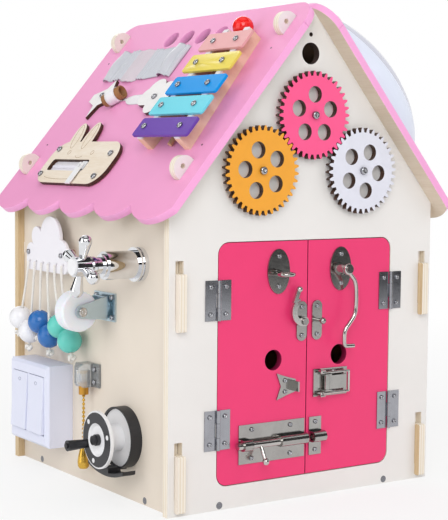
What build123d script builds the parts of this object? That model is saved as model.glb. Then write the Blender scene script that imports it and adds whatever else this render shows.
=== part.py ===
# Busy house: a plywood play house with latches, gears, a tap, a castor, switches, beads and a xylophone.
# Millimetres, +Z up. The origin is the middle of the base on the floor; the doors face -Y.
from math import asin, atan, atan2, cos, pi, radians, sin, sqrt, tan
import os

from build123d import *

# House shell
WIDTH = 320.0
DEPTH = 320.0
EAVE = 288.0
PITCH = 50.0
PLY = 8.0
WALL_IN = 7.5
WALL_RISE = 6.0
ROOF_OVER = 20.0
EAVE_OVER = 6.0
SCALLOPS = 5
SCALLOP_DROP = 15.5
ROOF_CORNER = 28.0
EAR_UP, EAR_DOWN = 31.0, 38.0
EAR_R = 12.0
EAR_GAP = 0.3
TAB_Z = (15.5, 184.5)
TAB_H = 54.0
TAB_DROP = 11.8

# Doors and hinges
DOOR_X = 106.0
DOOR_Z0 = 22.0
DOOR_Z1 = 254.5
DOOR_GAP = 0.7
PIN_OUT = 2.3
PIN_R = 1.0
KNUCKLE_R = 2.0
HINGE_Z = (200.0, 77.0)
HINGE_H = 38.0
LEAF_W = 14.5

# Gears
TEETH = 36
GEAR_LIFT = 33.5
GEAR_ROOF = 11.1667
GEAR_SPREAD = 0.754
GEAR_T = 6.0
GEAR_OUT = 2.0

# Small fits
FIT = 0.05

FRONT = -DEPTH / 2
INNER = DEPTH / 2 - PLY
PANEL_MID = DEPTH / 2 - PLY / 2
C, S = cos(radians(PITCH)), sin(radians(PITCH))
APEX = EAVE + WIDTH / 2 * tan(radians(PITCH))
SLOPE = WIDTH / 2 / C
WALL_X = WIDTH / 2 - WALL_IN
ROOF_HALF = DEPTH / 2 + ROOF_OVER
ROOF_NOTCH = SLOPE + EAVE_OVER
SCALLOP = 2 * ROOF_HALF / SCALLOPS
EAR_S = (EAR_UP, SLOPE - EAR_DOWN)
PIN_X = DOOR_X - DOOR_GAP / 2

# The gears fill the gable: the low pair stands above the eave and clears the roof with its tips.
GEAR_ROOM = S * WIDTH / 2 - C * GEAR_LIFT - GEAR_ROOF
GEAR_GAP = GEAR_ROOM / (S * GEAR_SPREAD + 0.5 + 1 / TEETH)
GEAR_LOW = (GEAR_SPREAD * GEAR_GAP, EAVE + GEAR_LIFT)
MODULE = GEAR_GAP / TEETH

# Local frames of the two roof slopes: x runs down the slope, z stands off the underside.
ROOF_L = Plane(origin=(0, 0, APEX), x_dir=(-C, 0, -S), z_dir=(-S, 0, C)).location
ROOF_R = Plane(origin=(0, 0, APEX), x_dir=(C, 0, -S), z_dir=(S, 0, C)).location
LOW = (Align.CENTER, Align.CENTER, Align.MIN)

os.makedirs("parts", exist_ok=True)


def save(name, *pieces):
    solids = [s for p in pieces for s in p.solids()]
    shape = solids[0] if len(solids) == 1 else Compound(solids)
    export_step(shape, f"parts/{name}.step")


def block(x0, x1, y0, y1, z0, z1):
    middle = Pos((x0 + x1) / 2, (y0 + y1) / 2, (z0 + z1) / 2)
    return middle * Box(x1 - x0, y1 - y0, z1 - z0)


def rod(start, end, r):
    run = Vector(*end) - Vector(*start)
    return Plane(origin=start, z_dir=run).location * Cylinder(r, run.length, align=LOW)


def cone(start, end, r0, r1):
    run = Vector(*end) - Vector(*start)
    return Plane(origin=start, z_dir=run).location * Cone(r0, r1, run.length, align=LOW)


def ball(at, r):
    return Pos(*at) * Sphere(r)


def ahead(at, way, far):
    return tuple(a + w * far for a, w in zip(at, way))


def screw(at, way, length, r=1.5, head=2.9, high=1.4):
    # Pan head standing on the point, with its shank along the way given.
    return rod(at, ahead(at, way, length), r) + rod(at, ahead(at, way, -high), head)


def hole(at, way, length, r=1.5):
    return rod(ahead(at, way, -0.5), ahead(at, way, length + 0.3), r + FIT)


def flush_screw(at, way, length, grow=0.0):
    head = cone(at, ahead(at, way, 2.0), 3.5 + grow, 1.6 + grow)
    return head + rod(at, ahead(at, way, length + grow), 1.6 + grow)


def facing(sketch, back, thick):
    # A flat piece parallel to the front, drawn in x and z, from its back plane towards the viewer.
    plane = Plane(origin=(0, back, 0), x_dir=(1, 0, 0), z_dir=(0, -1, 0))
    return extrude(plane * sketch, amount=thick)


def siding(sketch, x0, thick):
    return extrude(Plane(origin=(x0, 0, 0), x_dir=(0, 1, 0), z_dir=(1, 0, 0)) * sketch, amount=thick)


def flat(sketch, h0, thick):
    return extrude(Plane(origin=(0, 0, h0)) * sketch, amount=thick)


def out(d):
    # Distance in front of the front panel's face, as a y value.
    return FRONT - d


# Front and back panels with their roof ears and wall slots
def gable():
    shape = make_face(Polyline((-WIDTH / 2, 0), (WIDTH / 2, 0), (WIDTH / 2, EAVE), (0, APEX),
                               (-WIDTH / 2, EAVE), close=True))
    ear = Pos(0, 3) * Rectangle(2 * EAR_R, 14) + Pos(0, 10) * Circle(EAR_R)
    ear = ear - Pos(0, 13) * Circle(2.5)
    for s in EAR_S:
        shape = shape + Pos(-s * C, APEX - s * S) * Rot(0, 0, PITCH) * ear
        shape = shape + Pos(s * C, APEX - s * S) * Rot(0, 0, -PITCH) * ear
    for z in TAB_Z:
        for side in (-1, 1):
            shape = shape - Pos(side * (WALL_X - PLY / 2), z + TAB_H / 2) * Rectangle(PLY + 0.6, TAB_H)
    return shape


def door_shape(gap):
    width = 2 * (DOOR_X - gap)
    height = DOOR_Z1 - DOOR_Z0 - 2 * gap
    return Pos(0, (DOOR_Z0 + DOOR_Z1) / 2) * RectangleRounded(width, height, 12 - gap)


FLOOR_X = (-102.0, 102.0)
FLOOR_Y = (-107.0, 109.0)
floor_ways = [((x, side * DEPTH / 2, 4.4), (0, -side, 0)) for x in FLOOR_X for side in (-1, 1)]
floor_ways += [((side * WALL_X, y, 4.4), (-side, 0, 0)) for y in FLOOR_Y for side in (-1, 1)]
floor_screws = [flush_screw(at, way, 22) for at, way in floor_ways]
floor_holes = [flush_screw(at, way, 22, FIT) for at, way in floor_ways]

PEEP_DOWN, NAIL_HOLE_DOWN = 44.28, 26.08
nail_hole = Pos(0, APEX - NAIL_HOLE_DOWN) * Circle(2.1)
front_face = gable() - door_shape(0) - Pos(0, APEX - PEEP_DOWN) * Circle(10.5) - nail_hole
front_panel = facing(front_face, -INNER, PLY)
back_panel = facing(gable() - nail_hole, DEPTH / 2, PLY)


# Side walls with hooked tabs that drop into the panel slots
def wall_shape():
    tall = EAVE + WALL_RISE
    shape = Pos(0, tall / 2) * Rectangle(2 * INNER, tall)
    for z in TAB_Z:
        low = z + 0.2
        top = z + TAB_H - TAB_DROP - 0.2
        for side in (-1, 1):
            neck = Pos(side * (INNER + 4), (low + top) / 2) * Rectangle(8.6, top - low)
            hook = Pos(side * (DEPTH / 2 + 3.6), (low - TAB_DROP + top) / 2)
            shape = shape + neck + hook * RectangleRounded(6.8, top - low + TAB_DROP, 2)
    return shape


left_wall = siding(wall_shape(), -WALL_X, PLY)
right_wall = siding(wall_shape(), WALL_X - PLY, PLY)
floor_panel = block(-WALL_X + PLY, WALL_X - PLY, -INNER, INNER, 0, PLY)


# Roof panels with a scalloped eave, rounded ridge corners and slots for the ears
def roof_panel():
    shape = Pos(ROOF_NOTCH / 2 + 0.1, 0) * Rectangle(ROOF_NOTCH - 0.2, 2 * ROOF_HALF)
    r = (SCALLOP ** 2 / 4 + SCALLOP_DROP ** 2) / (2 * SCALLOP_DROP)
    strip = Pos(ROOF_NOTCH + 10, 0) * Rectangle(20.0, 2 * ROOF_HALF)
    for k in range(SCALLOPS):
        middle = (k - (SCALLOPS - 1) / 2) * SCALLOP
        shape = shape + (strip & (Pos(ROOF_NOTCH + SCALLOP_DROP - r, middle) * Circle(r)))
    for side in (-1, 1):
        middle = side * (ROOF_HALF - ROOF_CORNER)
        corner = Pos(ROOF_CORNER / 2, middle + side * ROOF_CORNER / 2) * Rectangle(ROOF_CORNER, ROOF_CORNER)
        shape = shape - (corner - Pos(ROOF_CORNER, middle) * Circle(ROOF_CORNER - 0.2))
    panel = flat(shape, 0, PLY)
    for s in EAR_S:
        for side in (-1, 1):
            slot = Pos(s, side * PANEL_MID, PLY / 2) * Box(2 * (EAR_R + EAR_GAP), PLY + 2 * EAR_GAP, PLY + 2)
            panel = panel - slot
    return panel


NAIL_S = (EAR_S[0] + 29.0, EAR_S[1] - 30.0)
NAIL_R, NAIL_DEEP = 1.0, 14.0
nail_at = [(s, side * PANEL_MID) for s in NAIL_S for side in (-1, 1)]
nails = [rod((s, v, PLY), (s, v, -NAIL_DEEP), NAIL_R) for s, v in nail_at]
nail_holes = [rod((s, v, PLY + 1), (s, v, -NAIL_DEEP - 0.2), NAIL_R + FIT) for s, v in nail_at]
roof_left = roof_panel()
roof_right = roof_panel()
for v in (-51.4, -20.4, 10.6, 41.6):
    roof_left = roof_left - rod((32, v, -1), (32, v, 9), 10.5)
for cut in nail_holes:
    roof_left = roof_left - cut
    roof_right = roof_right - cut
    for frame in (ROOF_L, ROOF_R):
        front_panel = front_panel - frame * cut
        back_panel = back_panel - frame * cut
roof_nails = [frame * n for frame in (ROOF_L, ROOF_R) for n in nails]

# Doors
doors = facing(door_shape(DOOR_GAP), -INNER, PLY)
FINGER_X, FINGER_Z, FINGER_R = 40.4, 138.8, 10.0
door_left = doors & block(-DOOR_X, -0.4, -DEPTH, 0, 0, DOOR_Z1)
door_right = doors & block(0.4, DOOR_X, -DEPTH, 0, 0, DOOR_Z1)
door_left = door_left - rod((-FINGER_X, 0, FINGER_Z), (-FINGER_X, out(10), FINGER_Z), FINGER_R)
door_right = door_right - rod((FINGER_X, 0, FINGER_Z), (FINGER_X, out(10), FINGER_Z), FINGER_R)


# Butt hinges: the pin is fixed in the frame leaf, the middle knuckle belongs to the door leaf
def knuckle(z0, z1, side):
    x = side * PIN_X
    return rod((x, out(PIN_OUT), z0), (x, out(PIN_OUT), z1), KNUCKLE_R)


def frame_leaf(z, side):
    inner = side * (PIN_X + KNUCKLE_R + 0.4)
    outer = side * (PIN_X + LEAF_W)
    leaf = block(min(inner, outer), max(inner, outer), out(1), FRONT, z - HINGE_H / 2, z + HINGE_H / 2)
    for z0, z1 in ((z - 19, z - 7), (z + 7, z + 19)):
        edge = side * (PIN_X + KNUCKLE_R + 0.5)
        leaf = leaf + knuckle(z0, z1, side)
        leaf = leaf + block(min(side * PIN_X, edge), max(side * PIN_X, edge), out(1), FRONT, z0, z1)
    bore = rod((side * PIN_X, out(PIN_OUT), z - 20), (side * PIN_X, out(PIN_OUT), z + 20), PIN_R + 0.03)
    return leaf - bore


def door_leaf(z, side):
    edge = side * (PIN_X - KNUCKLE_R - 0.4)
    outer = side * (PIN_X - LEAF_W)
    leaf = block(min(edge, outer), max(edge, outer), out(1), FRONT, z - HINGE_H / 2, z + HINGE_H / 2)
    leaf = leaf + knuckle(z - 6.7, z + 6.7, side)
    near = side * (PIN_X - KNUCKLE_R - 0.5)
    leaf = leaf + block(min(side * PIN_X, near), max(side * PIN_X, near), out(1), FRONT, z - 6.7, z + 6.7)
    bore = rod((side * PIN_X, out(PIN_OUT), z - 20), (side * PIN_X, out(PIN_OUT), z + 20), PIN_R + 0.03)
    return leaf - bore


def hinge_pin(z, side):
    at = (side * PIN_X, out(PIN_OUT), z - 18.8)
    return rod(at, ahead(at, (0, 0, 1), 37.6), PIN_R)


frame_leaves = [frame_leaf(z, side) for z in HINGE_Z for side in (-1, 1)]
pins = [hinge_pin(z, side) for z in HINGE_Z for side in (-1, 1)]
leaves_left = [door_leaf(z, -1) for z in HINGE_Z]
leaves_right = [door_leaf(z, 1) for z in HINGE_Z]

INTO = (0, 1, 0)
frame_points = [(side * (PIN_X + 8.6), out(1), z + dz) for z in HINGE_Z for dz in (-13, 13) for side in (-1, 1)]
left_points = [(-PIN_X + 8.6, out(1), z + dz) for z in HINGE_Z for dz in (-13, 13)]
right_points = [(PIN_X - 8.6, out(1), z + dz) for z in HINGE_Z for dz in (-13, 13)]


# Cabin hook: eye on the left door, pivot on the right door, hook hanging from the pivot
LATCH_T = 1.5
OVAL = (13.2, 21.7)
OVAL_SCREW = 14.5
HOOK_Z, HOOK_OUT, HOOK_R = 224.7, 13.0, 2.2
EYE_R, EYE_WIRE, EYE_DROP = 7.4, 2.0, 2.0
RING_X, PIVOT_X = -36.0, 40.4
HOOK_LONG = PIVOT_X - RING_X


def oval_plate(x):
    return facing(Pos(x, HOOK_Z) * Ellipse(*OVAL), FRONT, LATCH_T)


def post(x, z, r, start, end):
    # A round post standing out of the front, between two distances from it.
    return rod((x, out(start), z), (x, out(end), z), r)


eye_z = HOOK_Z - EYE_DROP
hook_ring = oval_plate(RING_X) + post(RING_X, eye_z, 1.7, 1, HOOK_OUT - EYE_R)
hook_ring = hook_ring + Pos(RING_X, out(HOOK_OUT), eye_z) * Torus(EYE_R, EYE_WIRE)
hook_near, hook_far = HOOK_OUT - HOOK_R, HOOK_OUT + HOOK_R
hook_pivot = oval_plate(PIVOT_X) + post(PIVOT_X, HOOK_Z, 2.0, 1, hook_far + 0.5)
hook_pivot = hook_pivot + cone((PIVOT_X, out(1), HOOK_Z), (PIVOT_X, out(hook_near - 0.2), HOOK_Z), 7.0, 3.4)
hook_pivot = hook_pivot + post(PIVOT_X, HOOK_Z, 3.8, hook_far + 0.2, hook_far + 1.8)

# The hook is drawn in its closed place, as steps left of the pivot and above it, then let down to hang.
hook_steps = [(3.6, -1.2), (13, -10), (46, -10), (60, 3.4), (HOOK_LONG, 3.4), (HOOK_LONG, -9)]
hook_line = FilletPolyline(*[(PIVOT_X - u, out(HOOK_OUT), HOOK_Z + w) for u, w in hook_steps], radius=5)
hook_section = Plane(origin=hook_line @ 0, z_dir=hook_line % 0) * Circle(HOOK_R)
hook = sweep(hook_section, path=hook_line) + post(PIVOT_X, HOOK_Z, 5.6, hook_near, hook_far)
hook = hook - post(PIVOT_X, HOOK_Z, 2.06, hook_near - 1, hook_far + 1)
hook = Pos(PIVOT_X, 0, HOOK_Z) * Rot(0, -90, 0) * Pos(-PIVOT_X, 0, -HOOK_Z) * hook

# Swing arm latch: crescent arm on the left door turned up, post with a ball on the right door
ARM_X, ARM_Z, POST_X = -7.5, 175.0, 11.4
STRIP = (12.0, 39.0)
STRIP_SCREW = 14.0
ARM_OUT, ARM_T = 4.0, 2.6
ARM_UP = 110
reach = POST_X - ARM_X
arm_mid = ARM_OUT + ARM_T / 2


def strip_plate(x):
    return facing(Pos(x, ARM_Z) * RectangleRounded(*STRIP, 5.8), FRONT, LATCH_T)


arm_plate = strip_plate(ARM_X) + post(ARM_X, ARM_Z, 2.0, 1, 8) + post(ARM_X, ARM_Z, 3.4, 1, ARM_OUT - 0.4)
arm_plate = arm_plate + post(ARM_X, ARM_Z, 3.4, ARM_OUT + ARM_T + 0.4, 8.4)
arm_post = strip_plate(POST_X) + post(POST_X, ARM_Z, 1.9, 1, 8) + ball((POST_X, out(10.4), ARM_Z), 3.4)
crescent = Pos(reach / 2, -2) * (Circle(14) - Circle(8.2)) & Pos(reach / 2, 10) * Rectangle(40, 24)
tail_end = (reach + 13, -5)
arm_flat = crescent + Circle(4.6) + Pos(reach + 7.6, 0.5) * Rot(0, 0, -40) * Rectangle(14, 4.4)
arm_flat = arm_flat - Circle(2.06) - Pos(reach, 0) * Circle(2.3) - Pos(reach, -5) * Rectangle(4.6, 10)
swing_arm = facing(arm_flat, out(ARM_OUT), ARM_T) + ball((tail_end[0], out(arm_mid), tail_end[1]), 3.2)
swing_arm = Pos(ARM_X, 0, ARM_Z) * Rot(0, -ARM_UP, 0) * swing_arm

# Toggle latch: fishtail catch on the left door, base, lever and wire bail on the right door
TOG_Z = 112.5
BAIL_X, BAIL_OUT, BAIL_LONG, BAIL_R, BAIL_HALF = 14.0, 6.5, 34.5, 1.2, 10.2
LEVER_X, LEVER_OUT, LEVER_HALF, LEVER_END = 22.0, 5.0, 6.8, 44.8
LUG = 1.3
fishtail = Polyline((-37, -13), (-32, 0), (-37, 13), (-25, 9), (-14, 6), (-14, -6), (-25, -9), close=True)
catch = facing(Pos(0, TOG_Z) * make_face(fishtail), FRONT, LATCH_T)
catch = catch + block(-18.4, -16.6, out(11.2), out(1), TOG_Z - 5, TOG_Z + 5)
base_half = BAIL_HALF + BAIL_R + LUG + 1.0
base = block(8, 50, out(LATCH_T), FRONT, TOG_Z - base_half, TOG_Z + base_half)
bail_end = BAIL_X + BAIL_LONG


def across(x, d, half, r):
    # A round bar across the toggle, over a half length each way.
    return rod((x, out(d), TOG_Z - half), (x, out(d), TOG_Z + half), r)


bail = across(bail_end, BAIL_OUT, BAIL_HALF, BAIL_R)
for side in (-1, 1):
    lug = LEVER_HALF + 0.3
    z0, z1 = sorted((TOG_Z + side * lug, TOG_Z + side * (lug + LUG)))
    base = base + block(LEVER_X - 4, LEVER_X + 4, out(8), out(1), z0, z1)
    ear = BAIL_HALF + BAIL_R + 0.4
    z0, z1 = sorted((TOG_Z + side * ear, TOG_Z + side * (ear + LUG)))
    base = base + block(BAIL_X - 3, BAIL_X + 3, out(9.5), out(1), z0, z1)
    corner = (bail_end, out(BAIL_OUT), TOG_Z + side * BAIL_HALF)
    heel = (BAIL_X, out(BAIL_OUT), TOG_Z + side * BAIL_HALF)
    bail = bail + ball(corner, BAIL_R) + rod(corner, heel, BAIL_R) + ball(heel, BAIL_R)
    bail = bail + rod(heel, ahead(heel, (0, 0, side), BAIL_R + LUG + 1.0), BAIL_R)
base = base - across(BAIL_X, BAIL_OUT, base_half + 1, BAIL_R + FIT)
base = base + across(LEVER_X, LEVER_OUT, LEVER_HALF + 1, 1.5)
lever = block(LEVER_X, LEVER_END, out(6.4), out(4.4), TOG_Z - LEVER_HALF, TOG_Z + LEVER_HALF)
lever = lever + across(LEVER_X, LEVER_OUT, LEVER_HALF, 2.9) + across(LEVER_END, 5.4, LEVER_HALF, 1.6)
lever = lever - across(LEVER_X, LEVER_OUT, LEVER_HALF + 1, 1.5 + FIT)

# Barrel bolt on the left door, drawn back, and its keeper on the right door
BOLT_Z, BOLT_OUT, BOLT_R = 60.0, 6.2, 3.6
BOLT_DRAW = 19.5
BOLT_PLATE = (78.5, 38.0)
BOLT_T, STRAP_WALL, BOLT_GAP = 1.2, 1.8, 0.08
BOLT_SCREW = 14.0
KNOB_X, KNOB_R = -59.0, 2.0


def bar(x0, x1, r):
    return rod((x0, out(BOLT_OUT), BOLT_Z), (x1, out(BOLT_OUT), BOLT_Z), r)


def strap(x0, x1):
    half = BOLT_R + STRAP_WALL
    flange = block(x0, x1, out(BOLT_T), FRONT, BOLT_Z - BOLT_PLATE[1] / 2, BOLT_Z + BOLT_PLATE[1] / 2)
    hoop = block(x0, x1, out(BOLT_OUT), FRONT, BOLT_Z - half, BOLT_Z + half) + bar(x0, x1, half)
    return flange + hoop - bar(x0 - 1, x1 + 1, BOLT_R + BOLT_GAP)


plate_x = (-2.5 - BOLT_PLATE[0], -2.5)
bolt_plate = block(*plate_x, out(BOLT_T), FRONT, BOLT_Z - BOLT_PLATE[1] / 2, BOLT_Z + BOLT_PLATE[1] / 2)
tunnel_x = (KNOB_X + BOLT_DRAW + KNOB_R + 1.5, plate_x[1] - 1.5)
bolt_plate = bolt_plate + strap(plate_x[0] + 1, plate_x[0] + 11) + strap(*tunnel_x)
keeper = strap(3.5, 18.5)
bolt = bar(plate_x[0] - 5, -3.0, BOLT_R)
knob_way = (0, -0.5, -0.866)
knob_at = (KNOB_X, out(BOLT_OUT), BOLT_Z)
bolt = bolt + rod(knob_at, ahead(knob_at, knob_way, 17), KNOB_R) + ball(ahead(knob_at, knob_way, 18), 3.4)

left_points += [(RING_X, out(LATCH_T), HOOK_Z + dz) for dz in (-OVAL_SCREW, OVAL_SCREW)]
left_points += [(ARM_X, out(LATCH_T), ARM_Z + dz) for dz in (-STRIP_SCREW, STRIP_SCREW)]
left_points += [(-27, out(LATCH_T), TOG_Z + dz) for dz in (-5.5, 5.5)]
bolt_screws = (plate_x[0] + 15, sum(tunnel_x) / 2)
left_points += [(x, out(BOLT_T), BOLT_Z + dz) for x in bolt_screws for dz in (-BOLT_SCREW, BOLT_SCREW)]
right_points += [(PIVOT_X, out(LATCH_T), HOOK_Z + dz) for dz in (-OVAL_SCREW, OVAL_SCREW)]
right_points += [(POST_X, out(LATCH_T), ARM_Z + dz) for dz in (-STRIP_SCREW, STRIP_SCREW)]
right_points += [(33, out(LATCH_T), TOG_Z + dz) for dz in (-10, 10)]
right_points += [(11, out(BOLT_T), BOLT_Z + dz) for dz in (-BOLT_SCREW, BOLT_SCREW)]


def small_screws(points):
    return [screw(p, INTO, 7, r=1.2, head=2.2, high=1.0) for p in points]


def drilled(piece, points, way=INTO, length=7, r=1.2):
    for p in points:
        piece = piece - hole(p, way, length, r)
    return piece


door_left = drilled(door_left, left_points)
door_right = drilled(door_right, right_points)
front_panel = drilled(front_panel, frame_points)
frame_leaves = [drilled(p, frame_points) for p in frame_leaves]
leaves_left = [drilled(p, left_points) for p in leaves_left]
leaves_right = [drilled(p, right_points) for p in leaves_right]
hook_ring = drilled(hook_ring, left_points)
arm_plate = drilled(arm_plate, left_points)
catch = drilled(catch, left_points)
bolt_plate = drilled(bolt_plate, left_points)
hook_pivot = drilled(hook_pivot, right_points)
arm_post = drilled(arm_post, right_points)
base = drilled(base, right_points)
keeper = drilled(keeper, right_points)


# Three equal gears turning on shoulder screws
def gear_shape(turn):
    pitch_r = MODULE * TEETH / 2
    base_r = pitch_r * cos(radians(20))
    tip_r = pitch_r + 0.9 * MODULE
    root_r = pitch_r - 1.2 * MODULE
    half = pi / (2 * TEETH) - 0.28 / pitch_r
    lead = tan(radians(20)) - radians(20)
    flank = []
    for r in (base_r, base_r + 1.6, pitch_r + 0.4, tip_r):
        roll = sqrt(max((r / base_r) ** 2 - 1, 0.0))
        flank.append((r, half + lead - (roll - atan(roll))))
    points = []
    for k in range(TEETH):
        mid = 2 * pi * k / TEETH + turn
        side = [(root_r, flank[0][1])] + flank
        for r, a in side:
            points.append((r * cos(mid - a), r * sin(mid - a)))
        for r, a in reversed(side):
            points.append((r * cos(mid + a), r * sin(mid + a)))
    return make_face(Polyline(*points, close=True))


def gear(x, z, turn, first_hole):
    shape = gear_shape(turn) - Circle(2.56)
    for k in range(5):
        angle = radians(first_hole + 72 * k)
        shape = shape - Pos(20 * cos(angle), 20 * sin(angle)) * Circle(8)
    return facing(Pos(x, z) * shape, out(GEAR_OUT), GEAR_T)


PINK_Z = GEAR_LOW[1] + sqrt(GEAR_GAP ** 2 - GEAR_LOW[0] ** 2)
line_left = atan2(GEAR_LOW[1] - PINK_Z, -GEAR_LOW[0])
line_right = atan2(GEAR_LOW[1] - PINK_Z, GEAR_LOW[0])
pink_turn = line_left
half_tooth = pi / TEETH
orange_turn = line_left + pi + half_tooth
steps = (line_right - pink_turn) / (2 * half_tooth)
white_turn = line_right + pi + half_tooth + (steps - round(steps)) * 2 * half_tooth
gear_pink = gear(0, PINK_Z, pink_turn, 90)
gear_orange = gear(-GEAR_LOW[0], GEAR_LOW[1], orange_turn, 105)
gear_white = gear(GEAR_LOW[0], GEAR_LOW[1], white_turn, 65)
gear_screws = []
for x, z in ((0, PINK_Z), (-GEAR_LOW[0], GEAR_LOW[1]), GEAR_LOW):
    pin = rod((x, out(8.4), z), (x, -INNER, z), 2.5) + rod((x, out(8.4), z), (x, out(10.4), z), 3.8)
    gear_screws.append(pin + rod((x, out(1.7), z), (x, FRONT, z), 6.0))
    front_panel = front_panel - rod((x, out(1), z), (x, 0, z), 2.5 + FIT)

# Tap with a cross handle on the left wall
SIDE = -WALL_X
TAP_Y, TAP_Z = -97.0, 231.5
HUB_R = 9.5
TAP_ARM, TAP_ARM_OUT, TAP_NECK, TAP_BULB = 25.0, 64.0, 3.2, 6.3
IN_X = (1, 0, 0)


def turned(y, z, *steps_out):
    # Coaxial steps given as start, end and radius, counted outwards from the left wall.
    shape = None
    for start, end, r in steps_out:
        step = rod((SIDE - start, y, z), (SIDE - end, y, z), r)
        shape = step if shape is None else shape + step
    return shape


tap_body = turned(TAP_Y, TAP_Z, (-14, 1, 7), (0, 4, 16.5), (4, 6, 14.5), (6, 8, 16.5), (8, 40, 13.4))
tap_body = tap_body + turned(TAP_Y, TAP_Z, (40, 43, 11), (43, 50, 8), (49, 66, 4))
tap_handle = turned(TAP_Y, TAP_Z, (51, 54, 9), (54, 57, 7), (57, 72, HUB_R))
for k in range(4):
    angle = radians(20 + 90 * k)
    way = (0, cos(angle), sin(angle))
    neck = ahead((SIDE - TAP_ARM_OUT, TAP_Y, TAP_Z), way, HUB_R - 2)
    bulb = ahead((SIDE - TAP_ARM_OUT, TAP_Y, TAP_Z), way, TAP_ARM)
    shoulder = ahead(bulb, way, -0.25 * TAP_BULB)
    tap_handle = tap_handle + cone(neck, shoulder, TAP_NECK, 0.95 * TAP_BULB) + ball(bulb, TAP_BULB)
tap_handle = tap_handle - turned(TAP_Y, TAP_Z, (50, 66.4, 4.06))
tap_cap = turned(TAP_Y, TAP_Z, (72, 74, HUB_R - 1.5))
tap_nut = turned(TAP_Y, TAP_Z, (-14, -8, 13)) - turned(TAP_Y, TAP_Z, (-15, 0, 7 + FIT))
left_wall = left_wall - turned(TAP_Y, TAP_Z, (-20, 1, 7 + FIT))

# Swivel castor
CAS_Y, CAS_Z = -31.0, 185.0
AXLE_OUT, AXLE_Z = 33.5, CAS_Z - 3
castor_plate = block(SIDE - 2, SIDE, CAS_Y - 20.5, CAS_Y + 20.5, CAS_Z - 14, CAS_Z + 14)
castor_plate = castor_plate + turned(CAS_Y, CAS_Z, (1, 9, 3), (1, 5, 9))
castor_plate = castor_plate + turned(CAS_Y, CAS_Z, (8.2, 9.4, 5))
ARM_END = 6.5
fork_arm = make_face(Polyline((SIDE - 5.3, CAS_Z - 12), (SIDE - 5.3, CAS_Z + 11),
                              (SIDE - AXLE_OUT, AXLE_Z + ARM_END),
                              (SIDE - AXLE_OUT, AXLE_Z - ARM_END), close=True))
fork_arm = fork_arm + Pos(SIDE - AXLE_OUT, AXLE_Z) * Circle(ARM_END)
fork = block(SIDE - 8, SIDE - 5.3, CAS_Y - 12.2, CAS_Y + 12.2, CAS_Z - 12, CAS_Z + 11)
for side in (-1, 1):
    y0, y1 = sorted((CAS_Y + side * 9.6, CAS_Y + side * 12.2))
    fork = fork + facing(fork_arm, y1, y1 - y0)
castor_fork = fork - turned(CAS_Y, CAS_Z, (4, 8.1, 3.06)) - turned(CAS_Y, CAS_Z, (8.05, 11, 5.4))
AXLE_A = (SIDE - AXLE_OUT, CAS_Y - 15, AXLE_Z)
AXLE_B = (SIDE - AXLE_OUT, CAS_Y + 15, AXLE_Z)
castor_fork = castor_fork - rod(AXLE_A, AXLE_B, 2.5 + FIT)
castor_axle = rod(ahead(AXLE_A, (0, 1, 0), 0.6), ahead(AXLE_B, (0, 1, 0), -0.6), 2.5)
castor_axle = castor_axle + rod(ahead(AXLE_A, (0, 1, 0), 0.4), ahead(AXLE_A, (0, 1, 0), 2.8), 4.6)
castor_axle = castor_axle + rod(ahead(AXLE_B, (0, 1, 0), -2.8), ahead(AXLE_B, (0, 1, 0), -0.4), 4.6)
WHEEL_A = (SIDE - AXLE_OUT, CAS_Y - 8.5, AXLE_Z)
WHEEL_B = (SIDE - AXLE_OUT, CAS_Y + 8.5, AXLE_Z)
castor_wheel = rod(WHEEL_A, WHEEL_B, 20)
castor_wheel = chamfer(castor_wheel.edges().filter_by(GeomType.CIRCLE), 1.5) - rod(AXLE_A, AXLE_B, 2.56)

# Two gang rocker switch
SW_Y, SW_Z = 82.0, 74.0
switch_box = block(SIDE - 24, SIDE, SW_Y - 43, SW_Y + 43, SW_Z - 43, SW_Z + 43)
switch_box = switch_box - block(SIDE - 25, SIDE - 2, SW_Y - 41, SW_Y + 41, SW_Z - 41, SW_Z + 41)
switch_frame = block(SIDE - 30, SIDE - 24, SW_Y - 43, SW_Y + 43, SW_Z - 43, SW_Z + 43)
switch_frame = chamfer(switch_frame.faces().sort_by(Axis.X)[0].edges(), 3.0)
switch_frame = switch_frame - block(SIDE - 28, SIDE - 20, SW_Y - 40, SW_Y + 40, SW_Z - 36, SW_Z + 36)
rockers = []
switch_module = block(SIDE - 14, SIDE - 2, SW_Y - 30, SW_Y + 30, SW_Z - 20, SW_Z + 20)
for side in (-1, 1):
    mid = SW_Y + side * 18.6
    switch_frame = switch_frame - block(SIDE - 40, SIDE - 20, mid - 17.2, mid + 17.2, SW_Z - 31, SW_Z + 31)
    rocker = block(SIDE - 32, SIDE - 26.5, mid - 16.8, mid + 16.8, SW_Z - 30, SW_Z + 30)
    rocker = rocker + block(SIDE - 27, SIDE - 22, mid - 6, mid + 6, SW_Z - 4, SW_Z + 4)
    rocker = rocker + rod((SIDE - 22, mid - 8, SW_Z), (SIDE - 22, mid + 8, SW_Z), 3.0)
    rockers.append(rocker)
    for end in (-1, 1):
        y0, y1 = sorted((mid + end * 6.4, mid + end * 9))
        post = block(SIDE - 26, SIDE - 13, y0, y1, SW_Z - 5, SW_Z + 5)
        switch_module = switch_module + post
    socket = rod((SIDE - 22, mid - 8.3, SW_Z), (SIDE - 22, mid + 8.3, SW_Z), 3.06)
    switch_module = switch_module - socket
TILT = 3.0
rockers = [Pos(SIDE - 22, 0, SW_Z) * Rot(0, TILT, 0) * Pos(22 - SIDE, 0, -SW_Z) * r for r in rockers]

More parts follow.
